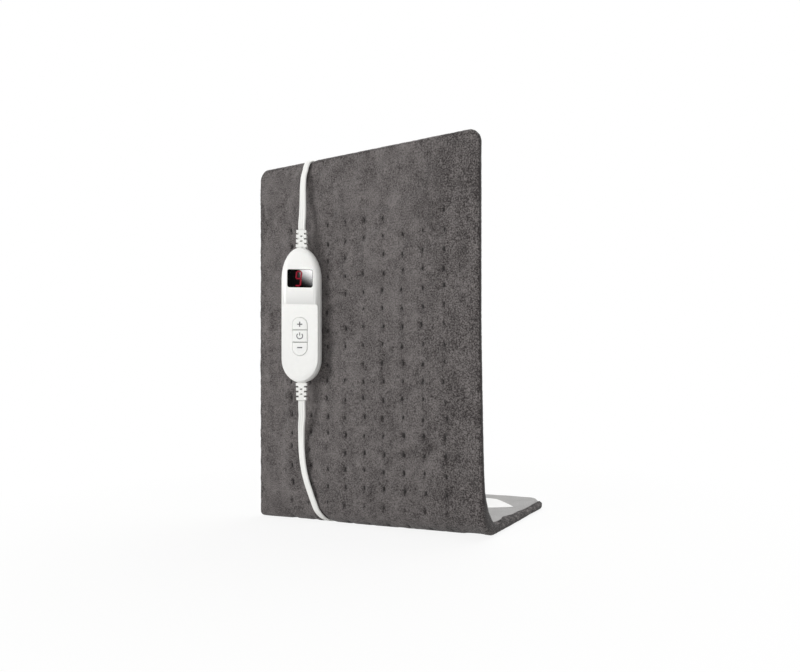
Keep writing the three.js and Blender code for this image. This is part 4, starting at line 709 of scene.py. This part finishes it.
def swollen_sheet():
    """Cloth simulation of the front cover, laid flat and held at its border and its tacks: a little too much
    cloth and a soft pressure from behind make it swell and crease between them. Gives the heights over a
    net of u and s, limited to the cap."""
    across = np.arange(-PAD_WIDTH / 2, PAD_WIDTH / 2 + 0.1, SHEET_STEP)
    along = np.arange(0, PAD_LENGTH + 0.1, SHEET_STEP)
    u, s = np.meshgrid(across, along, indexing="ij")
    bell = tuft_field(u, s, SHEET_BELL, SHEET_BELL)
    points = np.stack([u, -s, -TUFT_DEPTH * SHEET_DIP * bell], -1) * MM
    mesh = new_mesh("sheet", points, grid_faces(*u.shape)[:, ::-1].tolist())
    sheet = linked("sheet", mesh)
    border = (np.abs(u) > PAD_WIDTH / 2 - SHEET_BORDER) | (s < SHEET_BORDER) | (s > PAD_LENGTH - SHEET_BORDER)
    held = np.nonzero((border | (bell > SHEET_HELD)).ravel())[0]
    sheet.vertex_groups.new(name="held").add(held.tolist(), 1.0, "REPLACE")
    cloth = sheet.modifiers.new("cloth", "CLOTH")
    for name, value in CLOTH_SETTINGS.items():
        setattr(cloth.settings, name, value)
    cloth.settings.effector_weights.gravity = 0
    cloth.collision_settings.use_collision = False
    cloth.point_cache.frame_end = SHEET_FRAMES
    scene = bpy.context.scene
    for number in range(1, SHEET_FRAMES + 1):
        scene.frame_set(number)
    result = sheet.evaluated_get(bpy.context.evaluated_depsgraph_get()).data
    places = np.empty(len(result.vertices) * 3, np.float32)
    result.vertices.foreach_get("co", places)
    scene.frame_set(1)
    bpy.data.objects.remove(sheet)
    bpy.data.meshes.remove(mesh)
    swollen = places.reshape(*u.shape, 3)[:, :, 2] / MM
    return np.clip(swollen, -TUFT_DEPTH, SHEET_CAP)


PLUSH_WAVES = ((34, 5, 0.3, 1), (9, 6, 0.14, 1), (12, 8, 0.22, 7))
PLUSH_REST = 1.0  # the plush lies this deep, and less where the bend pulls it tight
TIGHTER, TIGHT_REACH, TIGHT_CALM = 0.7, 30.0, 0.6
DIMPLE, DIMPLE_DEPTH = (6.0, 6.0), 0.14  # each tack makes a wide dimple and a tight pit
PIT, PIT_DEPTH = (1.5, 3.2), 0.6
FIBRE_SIZE, FIBRE_HEIGHT, FIBRE_SEED = 1.7, 0.16, 7
FACE_GAP, FLOOR_GAP = 0.02, 0.25  # the plush stays this far inside its flat face, and off the floor


def front_depth(u, s, mains_path):
    """How far in from its flat face the plush lies: swollen as the cloth is, pulled in at the tacks, with the
    nap's own unevenness. Gives also how hard the tacks pull at each point, which sets the painted shade in
    their pits."""
    sheet = swollen_sheet()
    rows, columns = sheet.shape
    a = np.clip((u + PAD_WIDTH / 2) / SHEET_STEP, 0, rows - 1.001)
    b = np.clip(s / SHEET_STEP, 0, columns - 1.001)
    tight = tuft_field(u, s, *PIT)
    pulled = TUFT_DEPTH * (DIMPLE_DEPTH * tuft_field(u, s, *DIMPLE) + PIT_DEPTH * tight)
    round_bend = ramp(s, PANEL_RUN - TIGHT_REACH, TIGHT_REACH)
    swell = (waves(u, s, PLUSH_WAVES) - between(sheet, a, b)) * (1 - TIGHT_CALM * round_bend)
    fibre = noise(u, s, FIBRE_SIZE, FIBRE_SEED) * FIBRE_HEIGHT
    depth = PLUSH_REST - TIGHTER * round_bend + swell + pulled + fibre
    depth = np.maximum(depth, FACE_GAP + FLOOR_GAP * ramp(s, PANEL_RUN, BEND_ARC))
    return np.maximum(depth, groove_depth(u, s, mains_path)), np.clip(tight, 0, 1)


def rim_loop(rows, columns):
    """The numbers of a grid's border points, once round."""
    top = np.arange(columns)
    right = np.arange(1, rows) * columns + columns - 1
    bottom = (rows - 1) * columns + np.arange(columns - 2, -1, -1)
    left = np.arange(rows - 2, 0, -1) * columns
    return np.concatenate([top, right, bottom, left])


RIM_ANGLES = np.radians([14, 28, 42, 56, 70, 84, 98, 112, 126, 140, 154, 166])
RIM_SQUARENESS = 0.7
HEM_OFFSETS = (-0.6, -2.8, -5.0, -5.6, -3.0, 0.0, 0.0)  # out from the roll's start, and in from the face
HEM_DEPTHS = (10.6, 11.0, 10.7, 9.2, 8.4, 7.0, 5.2)
HEM_SEEN = len(RIM_ANGLES) + 3  # strips of the rim that lie open
HEM_WAVES = ((17, 21, 1.3, 1), (6, 22, 0.4, 1))
RIM_FIBRE, RIM_SEED = 0.22, 11
FIBRE_SHIFT_U, FIBRE_SHIFT_S = 3.1, 2.3  # per millimetre of depth, so that the loops differ
HEM_RAGGED, FOOT_RAGGED = 0.5, 1.5
END_THINNER, THIN_RAMP = 0.5, (440.0, 150.0)  # towards the foot's end the hem gets thin
END_DEPTH, END_OFFSET, END_STEP = 5.4, 4.6, 0.04  # and there it stops at half the thickness
BACK_END_RAMP = (0.15, 0.6)  # as the rim comes to face the foot's end
FOOT_REACH = 60.0
LEAD_CROSSING = -70.6  # where the lead dents the top edge, how deep and how wide
LEAD_DENT, DENT_WIDTH = 2.6, 6.0
DENT_STRIPS = 3  # it deepens over these loops
FACING_UP = -0.99
# Painted shade: darker on the side rims, less on the hem beyond them, and on the foot's hem up to this height
# above the floor
SIDE_SHADE, HEM_SHADE, FOOT_SHADE_HEIGHT = 0.75, 0.15, 6.0
SIDE_RAMP = (1.0, 3.0)  # in from the face
PANEL_HEM = 0.25  # how much of the foot's hem shows along the panel


def rim_strips(loop_u, loop_s, loop_depth, ends, mains_path):
    """The plush rim as loops one after another, each with its painted shade, rim and hem values: half a
    superellipse of the pad's thickness round the edge, a ragged hem over the back, and the way in under the
    back cover. At the foot's end the loops stay at half the thickness."""
    corner = np.where(loop_s > PANEL_RUN, FOOT_CORNER, PAD_CORNER)
    corner_u = np.clip(loop_u, corner - HALF_WIDTH, HALF_WIDTH - corner)
    out = np.stack([loop_u - corner_u, loop_s - np.clip(loop_s, *ends)], -1)
    out_u, out_s = (out / np.linalg.norm(out, axis=1)[:, None]).T
    cos = np.cos(RIM_ANGLES)
    offsets = [*(ROLL * np.sin(RIM_ANGLES) ** RIM_SQUARENESS), *HEM_OFFSETS]
    depths = [*(ROLL - ROLL * np.sign(cos) * np.abs(cos) ** RIM_SQUARENESS), *HEM_DEPTHS]
    turned = len(RIM_ANGLES)
    thinner = END_THINNER * ramp(loop_s, *THIN_RAMP)
    at_back_end = 1 - (1 - ramp(out_s, *BACK_END_RAMP)) * (1 - thinner)
    on_foot = ramp(loop_s, PANEL_RUN, FOOT_REACH)
    ragged = waves(loop_u + loop_s, 0 * loop_s, HEM_WAVES)
    ragged = ragged * (HEM_RAGGED + FOOT_RAGGED * on_foot) * (1 - at_back_end)
    dent = LEAD_DENT * np.exp(-((loop_u - LEAD_CROSSING) / DENT_WIDTH) ** 2) * (out_s < FACING_UP)
    strips = []
    for k, (offset, level) in enumerate(zip(offsets, depths)):
        n = level + (min(level, END_DEPTH + END_STEP * k) - level) * at_back_end
        n = n + loop_depth * max(0, 1 - level / ROLL)
        if k >= turned // 2:
            offset = offset + (max(offset, END_OFFSET - END_STEP * k) - offset) * at_back_end
        fibre = 0
        if k < HEM_SEEN:
            offset = offset - dent * min(1, (k + 1) / DENT_STRIPS)
            fibre = RIM_FIBRE * noise(
                loop_u + out_u * offset + FIBRE_SHIFT_U * level,
                loop_s + out_s * offset + FIBRE_SHIFT_S * level, FIBRE_SIZE, RIM_SEED)
        if turned < k <= HEM_SEEN:
            fibre = fibre + ragged
        u, s = loop_u + out_u * (offset + fibre), loop_s + out_s * (offset + fibre)
        if level < ROLL:
            n = np.maximum(n, groove_depth(u, s, mains_path))
        # Painted shade: the side rims darken as they turn from the face, and the foot's hem darkens towards
        # the floor
        at_side = (SIDE_SHADE if k < turned - 2 else HEM_SHADE) * np.abs(out_u) * ramp(level, *SIDE_RAMP)
        painted_shade = on_foot * max(0, 1 - level / FOOT_SHADE_HEIGHT) + (1 - on_foot) * at_side
        strips.append((on_pad(u, s, n), painted_shade, 1.0, PANEL_HEM + (1 - PANEL_HEM) * on_foot))
    return strips


FACE_COLUMNS, FACE_ROWS = 184, 358
CORNER_ROWS, FOOT_CORNER_ROWS = 9, 15
INNER_COLUMNS = 17
RIM_RAMP = (60.0, 90.0)  # where the face begins to take the right rim's painted shade and coarser grain


def make_plush(mains_path):
    """The front cover: a grid over the face, a rim that rolls round the edge and turns in under the back
    cover, and a plain inner side."""
    top, bottom = END_TUCK + ROLL, PAD_LENGTH - END_TUCK - ROLL
    half_width = pad_rim(HALF_WIDTH - ROLL, top, bottom, ROLL)
    close = top + (PAD_CORNER - ROLL) * (1 - np.cos(np.linspace(0, math.pi / 2, CORNER_ROWS)))
    rise = 1 - np.cos(np.linspace(math.pi / 2, 0, FOOT_CORNER_ROWS))
    close_end = bottom - (FOOT_CORNER - ROLL) * rise
    ends = close[-1], close_end[0]
    rows = np.concatenate([close, np.linspace(*ends, FACE_ROWS)[1:-1], close_end])
    s = np.repeat(rows[:, None], FACE_COLUMNS, axis=1)
    u = np.linspace(-1, 1, FACE_COLUMNS)[None, :] * half_width(rows)[:, None]
    depth, painted_shade = front_depth(u, s, mains_path)
    # Each layer: points, painted shade, the rim's share and the hem's share
    layers = [(on_pad(u, s, depth), painted_shade, ramp(u, *RIM_RAMP), 0.0)]
    faces = grid_faces(*u.shape).tolist()
    loop = rim_loop(*u.shape)
    count, last = u.size, loop
    for strip_layer in rim_strips(*(values.ravel()[loop] for values in (u, s, depth)), ends, mains_path):
        layers.append(strip_layer)
        here = count + np.arange(len(loop))
        faces += np.stack([last, np.roll(last, -1), np.roll(here, -1), here], -1).tolist()
        count, last = count + len(loop), here
    inner_u = np.linspace(-1, 1, INNER_COLUMNS)[None, 1:-1] * half_width(rows)[1:-1, None]
    layers.append((on_pad(inner_u, rows[1:-1, None], HEM_DEPTHS[-1]), 0.0, 0.0, 0.0))
    turns = np.cumsum([0, FACE_COLUMNS - 1, len(rows) - 1, FACE_COLUMNS - 1])
    upper, right, lower = (last[a:b + 1] for a, b in zip(turns, turns[1:]))
    left = last[turns[-1] + 1:][::-1]
    numbers = count + np.arange(inner_u.size).reshape(inner_u.shape)
    inner = np.concatenate([left[:, None], numbers, right[1:-1, None]], axis=1)
    faces += inner.ravel()[grid_faces(*inner.shape)].tolist()
    faces += [upper.tolist() + inner[0, ::-1].tolist(), lower.tolist() + inner[-1].tolist()]
    points = [layer[0].reshape(-1, 3) for layer in layers]
    plush = make_piece("plush_cover", np.vstack(points), faces, "plush", nodes=["pad_front_cover"])
    for k, name in enumerate(("painted_shade", "rim", "hem"), 1):
        values = [np.broadcast_to(layer[k], layer[0].shape[:-1]).ravel() for layer in layers]
        keep_attribute(plush, name, np.concatenate(values))


SOCKET_U = np.array([-46.3, -5.7])  # the opening for the socket
SOCKET_S = np.array([31.7, 62.3])
BACK_LAP = 1.2  # the back cover reaches this far under the rim, and less far back
BACK_END_GAP = 0.6
BACK_COLUMNS, BACK_CORNER_ROWS = 104, 12
BACK_ROWS = np.arange(17, 586, 3.0)
BACK_TUCK, FOOT_TUCK = 1.3, 1.4  # its border is tucked in, more along the foot
TUCK_REACH, FOOT_TUCK_REACH = 3.2, 3.0
BACK_REST = 0.35
BACK_BELL, BACK_PULL = 5.0, 1.1
BACK_WAVES = ((48, 15, 0.5, 1), (12, 16, 0.15, 1))
WAVE_REACH = 8.0
END_ROUND = 4.0  # it falls this far towards the foot's end
END_REACH = 9.0
END_FACING = 0.7  # fully where its border faces that end at least as much
CLOTH_THICKNESS = 1.0


def make_back():
    """The back cover: one cloth over the pad's back, its border tucked under the plush rim but for the foot's
    end, where it rounds down to meet it, pulled in a little at the tacks and open at the socket."""
    inset = ROLL - BACK_LAP
    top, bottom = inset + END_TUCK, PAD_LENGTH - END_TUCK - BACK_END_GAP
    half_width = pad_rim(HALF_WIDTH - inset, top, bottom, inset)
    full = half_width(PAD_LENGTH / 2)
    corner = FOOT_CORNER - inset
    close = 1 - np.cos(np.linspace(0, math.pi / 2, BACK_CORNER_ROWS))
    rows = np.unique(np.concatenate([
        top + (PAD_CORNER - inset) * close, BACK_ROWS, SOCKET_S, bottom - corner * close]))
    shares = np.unique(np.concatenate([np.linspace(-1, 1, BACK_COLUMNS), SOCKET_U / full]))
    s = np.repeat(rows[:, None], len(shares), axis=1)
    u = shares[None, :] * half_width(rows)[:, None]
    gap = np.minimum(half_width(rows)[:, None] - np.abs(u), s - top)
    lower = ramp(s, *THIN_RAMP)
    past_u = np.maximum(np.abs(u) - full + corner, 0)
    past_s = np.maximum(s - bottom + corner, 0)
    past = np.hypot(past_u, past_s)
    fall = np.clip((past - corner) / END_REACH + 1, 0, 1) * ramp(past_s / np.maximum(past, 1), 0, END_FACING)
    tuck = (BACK_TUCK + FOOT_TUCK * lower) * (1 - ramp(gap / (TUCK_REACH + FOOT_TUCK_REACH * lower)))
    tuck = tuck + END_ROUND * (1 - np.sqrt(1 - fall ** 2))
    pulled = BACK_PULL * tuft_field(u, s, BACK_BELL, BACK_BELL)
    n = PAD_THICKNESS - BACK_REST - tuck - pulled + waves(u, s, BACK_WAVES) * ramp(gap, 0, WAVE_REACH)
    faces = grid_faces(*u.shape)
    open_here = np.ones(len(faces), bool)
    for values, (low, high) in ((u, SOCKET_U), (s, SOCKET_S)):
        middle = values.ravel()[faces].mean(1)
        open_here &= (middle > low) & (middle < high)
    back = make_piece("flannel_back", on_pad(u, s, n), faces[~open_here].tolist(), "flannel",
                      nodes=["pad_back_cover"], closed=False)
    layer = back.data.uv_layers.new(name="cloth")
    corners = np.empty(len(back.data.loops), np.int32)
    back.data.loops.foreach_get("vertex_index", corners)
    layer.data.foreach_set("uv", (np.stack([u.ravel(), s.ravel()], -1)[corners] * MM).ravel())
    thick = back.modifiers.new("cloth_thickness", "SOLIDIFY")
    thick.thickness = CLOTH_THICKNESS * MM
    thick.offset = -1.0


FELT_HALF_WIDTH = 140.5
FELT_ENDS = (78.0, 598.0)
FELT_DEPTHS = (7.0, 7.6)
FELT_COLUMNS, FELT_ROWS = 40, 110
WIRE_RADIUS = 0.6
WIRE_DEPTH = 6.1
WIRE_RUN = (104.8, 575.2)
WIRE_ENDS_U = (-34.0, -18.0)  # its ends at the socket, and the row that leads to them
WIRE_END_ROW, WIRE_LEAD_ROW = 72.0, 82.0
WIRE_BOW_STEPS, WIRE_RUN_STEPS, WIRE_SIDES = 9, 90, 8


def make_felt():
    """The felt that carries the heating wire: a thin sheet that follows the bend inside the pad."""
    across = np.linspace(-FELT_HALF_WIDTH, FELT_HALF_WIDTH, FELT_COLUMNS)
    along = np.linspace(*FELT_ENDS, FELT_ROWS)[:, None]
    ring_u = np.concatenate([across, across[::-1]])[None, :]
    ring_n = np.repeat(FELT_DEPTHS, len(across))[None, :]
    points, faces = tube(on_pad(ring_u, along, ring_n))
    make_piece("carrier_felt", points, faces, "felt", nodes=["wire_carrier_felt"])


def make_heating_wire():
    """The heating wire: runs down and up between the columns of tacks, joined by half circles, with both ends
    at the socket. A round section is carried along it."""
    pitch = TUFT_U[1] - TUFT_U[0]
    runs = TUFT_U[0] + pitch * (np.arange(len(TUFT_U) + 1) - 0.5)
    bow = np.linspace(0, math.pi, WIRE_BOW_STEPS)[1:-1]
    first_end, last_end = WIRE_ENDS_U
    path = [[first_end, WIRE_END_ROW], [first_end, WIRE_LEAD_ROW], [runs[0], WIRE_LEAD_ROW]]
    for k, u in enumerate(runs):
        way = 1 if k % 2 == 0 else -1
        first, last = WIRE_RUN[::way]
        path += [[u, s] for s in np.linspace(first, last, WIRE_RUN_STEPS)]
        if k + 1 < len(runs):
            side, end = pitch / 2 * (1 - np.cos(bow)), way * pitch / 2 * np.sin(bow)
            path += np.stack([u + side, last + end], -1).tolist()
    path += [[runs[-1], WIRE_LEAD_ROW], [last_end, WIRE_LEAD_ROW], [last_end, WIRE_END_ROW]]
    path = np.array(path)
    along = directions(path)
    angle = np.linspace(0, 2 * math.pi, WIRE_SIDES, endpoint=False)[None, :]
    u = path[:, :1] + WIRE_RADIUS * np.cos(angle) * along[:, 1:]
    s = path[:, 1:] - WIRE_RADIUS * np.cos(angle) * along[:, :1]
    points, faces = tube(on_pad(u, s, WIRE_DEPTH + WIRE_RADIUS * np.sin(angle)))
    make_piece("heating_wire_run", points, faces, "silicone", nodes=["heating_wire"])


TACK_STEPS = 6  # along a tack and around it
TACK_LIFT = 0.25
TACK_WIDTH, TACK_FLATNESS, TACK_BLUNTNESS = 0.85, 0.45, 0.08
TACK_LEAN, TACK_SEED = 0.35, 43
TACK_REACH, TACK_GAIN = 1.4, 1.7
TACK_DEPTH, TACK_PULL = 0.85, 0.75


def make_tacks():
    """Bar tacks: at every tuft a short bundle of thread, an arch along the pad with a round section."""
    tuft_u, tuft_s, pull = (values[:, None, None] for values in tuft_places())
    along = np.linspace(-1, 1, TACK_STEPS)[:, None]
    around = np.linspace(0, 2 * math.pi, TACK_STEPS, endpoint=False)
    lift = TACK_LIFT * np.cos(math.pi / 2 * along)
    thick = TACK_WIDTH * np.sqrt(np.maximum(1 - along ** 2, TACK_BLUNTNESS))
    lean = np.random.default_rng(TACK_SEED).normal(0, TACK_LEAN, tuft_u.shape) * along
    u = tuft_u + lean + thick * np.cos(around)
    s = tuft_s + (TACK_REACH + TACK_GAIN * pull) * along
    n = TACK_DEPTH + TUFT_DEPTH * pull * TACK_PULL - lift + TACK_FLATNESS * thick * np.sin(around)
    points, faces = joined([tube(rings) for rings in on_pad(u, s, n)])
    make_piece("tuft_tacks", points, faces, "thread")


LABEL_U, LABEL_S = 73.0, PAD_LENGTH - FOOT_DEPTH + 137.0
LABEL_HALF_LENGTH, LABEL_HALF_HEIGHT = 57.0, 28.0
LABEL_TILT = math.radians(-4)
LABEL_POWER = 1.85
LABEL_STEPS = 96
LABEL_TIP = 1.35  # an end is this many times as long as half the label is high
LABEL_SHRINKS = (0.0, 0.0, 0.25, 0.8, 4.0, 14.0, 27.6)
LABEL_LEVELS = (9.0, 10.1, 10.4, 10.5, 10.45, 10.5, 10.5)


def make_label():
    """A bare woven label on the foot: a strip with points, a little raised, its edge turned down. Each end is
    half a superellipse, cos and sin to the same power."""
    angle = np.linspace(0, 2 * math.pi, LABEL_STEPS, endpoint=False)
    cos, sin = np.cos(angle), np.sin(angle)
    straight = LABEL_HALF_LENGTH - LABEL_TIP * LABEL_HALF_HEIGHT
    rings = []
    for shrink, level in zip(LABEL_SHRINKS, LABEL_LEVELS):
        radius = LABEL_HALF_HEIGHT - shrink
        long = (straight + LABEL_TIP * radius * np.abs(cos) ** LABEL_POWER) * np.sign(cos)
        short = radius * np.abs(sin) ** LABEL_POWER * np.sign(sin)
        u = LABEL_U + long * math.cos(LABEL_TILT) - short * math.sin(LABEL_TILT)
        s = LABEL_S + long * math.sin(LABEL_TILT) + short * math.cos(LABEL_TILT)
        rings.append(on_pad(u, s, level))
    points, faces = tube(np.array(rings))
    make_piece("sewn_label", points, faces, "label")


# Controller's finished solids, display digit and key signs

FINISHED_SOLIDS = (
    "front_shell", "rear_shell", "display_lens", "plus_button", "power_button", "minus_button",
    "upper_strain_relief", "lower_strain_relief", "pad_socket",
)
NINE = (  # its bars, in halves of the digit's width and height
    ((-1, 1), (1, 1)), ((1, 1), (1, 0)), ((1, 0), (1, -1)),
    ((-1, -1), (1, -1)), ((-1, 1), (-1, 0)), ((-1, 0), (1, 0)),
)
DIGIT_HALF_SIZE = np.array([2.7, 8.0])
DIGIT_MIDDLE = np.array([-1.6, LENS_MIDDLE - 0.2])
DIGIT_SLANT = 0.1
BAR_WIDTH, BAR_GAP, BAR_STEPS = 1.6, 0.35, 4
DIGIT_RAISED, DIGIT_SUNK = 0.06, 0.2  # out of the lens's face and into it
SIGN_RAISED, SIGN_SUNK = 0.04, 0.1
RING_RADIUS = 3.2
RING_SWEEP = np.radians(np.linspace(132, 408, 30))


def strip(points, width, front, back):
    """A bar along a path in the controller's x and z: a flat box section carried from end to end."""
    line = np.asarray(points, float)
    along = directions(line)
    side = np.stack([-along[:, 1], along[:, 0]], -1) * width / 2
    left, right = line + side, line - side
    rings = [np.insert(edge, 1, y, axis=1)
             for edge, y in ((left, front), (right, front), (right, back), (left, back))]
    return tube(on_controller(np.stack(rings, 1)))


def make_digit():
    """A seven-segment nine: six bars, slanted as such displays are, at the lens's face."""
    front, back = LENS_FRONT - DIGIT_RAISED, LENS_FRONT + DIGIT_SUNK
    bars = []
    for first, last in np.array(NINE) * DIGIT_HALF_SIZE:
        step = (last - first) / np.linalg.norm(last - first) * BAR_GAP
        path = np.linspace(first + step, last - step, BAR_STEPS)
        path[:, 0] += DIGIT_SLANT * path[:, 1]
        bars.append(strip(path + DIGIT_MIDDLE, BAR_WIDTH, front, back))
    points, faces = joined(bars)
    make_piece("digit_nine", points, faces, "digit")


def make_signs():
    """The signs printed on the keys: a plus, a ring with a bar through its open top, and a minus. Each has
    its lines' width and their paths."""
    front, back = KEY_FRONT - SIGN_RAISED, KEY_FRONT + SIGN_SUNK
    ring = RING_RADIUS * np.stack([np.cos(RING_SWEEP), np.sin(RING_SWEEP)], -1)
    signs = {
        "plus": (1.3, [((-2.9, 0), (0, 0), (2.9, 0)), ((0, 0.66), (0, 1.78), (0, 2.9)),
                       ((0, -0.66), (0, -1.78), (0, -2.9))]),
        "power": (1.1, [ring, ((0, 0.5), (0, 2.25), (0, 4.0))]),
        "minus": (1.4, [((-2.8, 0), (0, 0), (2.8, 0))]),
    }
    for name, (width, paths) in signs.items():
        middle = [0.0, KEY_MIDDLES[name]]
        points, faces = joined([strip(np.array(path) + middle, width, front, back) for path in paths])
        make_piece(name + "_sign", points, faces, "print", body=name + "_key")


# Floor and light

BACKDROP = 1.0
AMBIENT = 0.4
WHITE = colour("ffffff")
FLOOR_Z = -0.0003
FLOOR_HALF = 8.0
FLOOR_GLOW = 0.88  # the floor's share of the surround's white, which grows to all of it over this distance
FADE_START, FADE_END = 0.25, 0.6
LENS_PANEL_STRENGTH = 425.0
LENS_PANEL_DISTANCE = 1.2
LENS_PANEL_ACROSS = np.linspace(0.02, 1.1, 12)  # in halves of the lens's width and height
LENS_PANEL_UP = np.linspace(-0.9, 1.2, 16)
GLOW_LEAN, GLOW_POWER = 0.8, 1.7
GLOW_RAMP = (-0.6, 2.1)


def background_seen(tree):
    """One for rays that show the background, straight, in gloss or through glass, and nothing for light."""
    path = add(tree, "LightPath").node.outputs
    seen = path["Is Camera Ray"]
    for kind in ("Is Glossy Ray", "Is Transmission Ray"):
        seen = add(tree, "Math", {0: seen, 1: path[kind]}, operation="MAXIMUM")
    return seen


def make_world():
    """An even pale surround, dimmer as a light than it is seen."""
    world = bpy.data.worlds.new("studio")
    bpy.context.scene.world = world
    world.use_nodes = True
    tree = world.node_tree
    strength = add(tree, "Math", {0: background_seen(tree), 1: BACKDROP - AMBIENT, 2: AMBIENT},
                   operation="MULTIPLY_ADD")
    background = tree.nodes["Background"]
    background.inputs["Color"].default_value = WHITE
    tree.links.new(strength, background.inputs["Strength"])


def stage_piece(name, points, faces, material):
    """A mesh of the surroundings."""
    mesh = new_mesh(name, points, faces)
    mesh.materials.append(material)
    piece = linked(name, mesh)
    return piece


def make_floor():
    """A pale floor that keeps the shadow and fades into the surround."""
    material, tree, shader, place = start("pale_floor", {
        "Base Color": colour("f0f0ee"), "Roughness": 0.9, "Specular IOR Level": 0.1})
    glow = add(tree, "Emission", {"Color": WHITE, "Strength": BACKDROP})
    distance = add(tree, "VectorMath", {0: place}, output="Value", operation="LENGTH")
    fade = add(tree, "MapRange", {
        "Value": distance, "From Min": FADE_START, "From Max": FADE_END, "To Min": FLOOR_GLOW, "To Max": 1.0},
        interpolation_type="SMOOTHSTEP")
    share = add(tree, "Math", {0: background_seen(tree), 1: fade}, operation="MULTIPLY")
    blend = add(tree, "MixShader", {0: share, 1: shader.outputs[0], 2: glow})
    tree.links.new(blend, tree.nodes["Material Output"].inputs["Surface"])
    corners = [(FLOOR_HALF * x, FLOOR_HALF * y, FLOOR_Z) for x, y in ((-1, -1), (1, -1), (1, 1), (-1, 1))]
    stage_piece("floor", corners, [(0, 1, 2, 3)], material)


def lamp(name, place, target, size, power):
    """A square soft lamp at a place, turned to its target, both in millimetres."""
    data = bpy.data.lights.new(name, "AREA")
    data.shape = "SQUARE"
    data.size = size
    data.energy = power
    light = linked(name, data)
    light.location = placed(place)
    aim = placed(target) - placed(place)
    yaw = math.atan2(aim[0], -aim[1])
    pitch = math.atan2(math.hypot(aim[0], aim[1]), -aim[2])
    light.rotation_euler = (pitch, 0.0, yaw + math.pi)


def lens_panel():
    """The lamp that the lens mirrors: where lines from the camera's mirror image through the lens go on, from
    the lens's middle to beyond its right side, brighter to the top and the right."""
    normal = np.array([math.sin(CONTROLLER_TURN), -math.cos(CONTROLLER_TURN), 0.0])
    middle = on_controller([0.0, LENS_FRONT, LENS_MIDDLE])
    eye = placed(CAMERA_PLACE)
    mirrored = eye - 2 * normal * np.dot(eye - middle, normal)
    across, up = np.meshgrid(LENS_PANEL_ACROSS, LENS_PANEL_UP, indexing="ij")
    face = np.full(across.shape, LENS_FRONT)
    on_lens = np.stack([across * LENS_HALF_WIDTH, face, LENS_MIDDLE + up * LENS_HALF_HEIGHT], -1)
    away = on_controller(on_lens) - mirrored
    reach = np.abs(np.sum(away * normal, -1))[..., None]
    points = mirrored + away * (1 + LENS_PANEL_DISTANCE / reach)
    material, tree = start("lens_panel", {})[:2]
    glow = add(tree, "Attribute", output="Fac", attribute_name="glow")
    strength = add(tree, "Math", {0: glow, 1: LENS_PANEL_STRENGTH}, operation="MULTIPLY")
    light = add(tree, "Emission", {"Color": WHITE, "Strength": strength})
    tree.links.new(light, tree.nodes["Material Output"].inputs["Surface"])
    panel = stage_piece("lens_panel", points, grid_faces(*across.shape).tolist(), material)
    keep_attribute(panel, "glow", ramp(up + GLOW_LEAN * across, *GLOW_RAMP) ** GLOW_POWER)
    panel.visible_camera = False
    panel.visible_diffuse = False
    panel.visible_shadow = False


make_camera()
for node_name, node_slot in SUBPARTS.items():
    node_mesh = frame["nodes"][node_name].data
    node_mesh.materials.clear()
    node_mesh.materials.append(MATERIALS[node_slot])
mains_line = make_leads()
make_plush(mains_line)
make_back()
make_felt()
make_heating_wire()
make_tacks()
make_label()
for node_name in FINISHED_SOLIDS:
    moulding(node_name)
make_digit()
make_signs()
make_world()
make_floor()
lamp("key_softbox", (-650, -1600, 400), (0, 40, 220), 0.6, 13.2)
lamp("fill_softbox", (900, -1100, 450), (0, 40, 200), 1.2, 3.0)
lamp("top_softbox", (100, 500, 1500), (0, 120, 0), 1.4, 18.0)
lens_panel()
bpy.context.scene.view_settings.view_transform = "Standard"
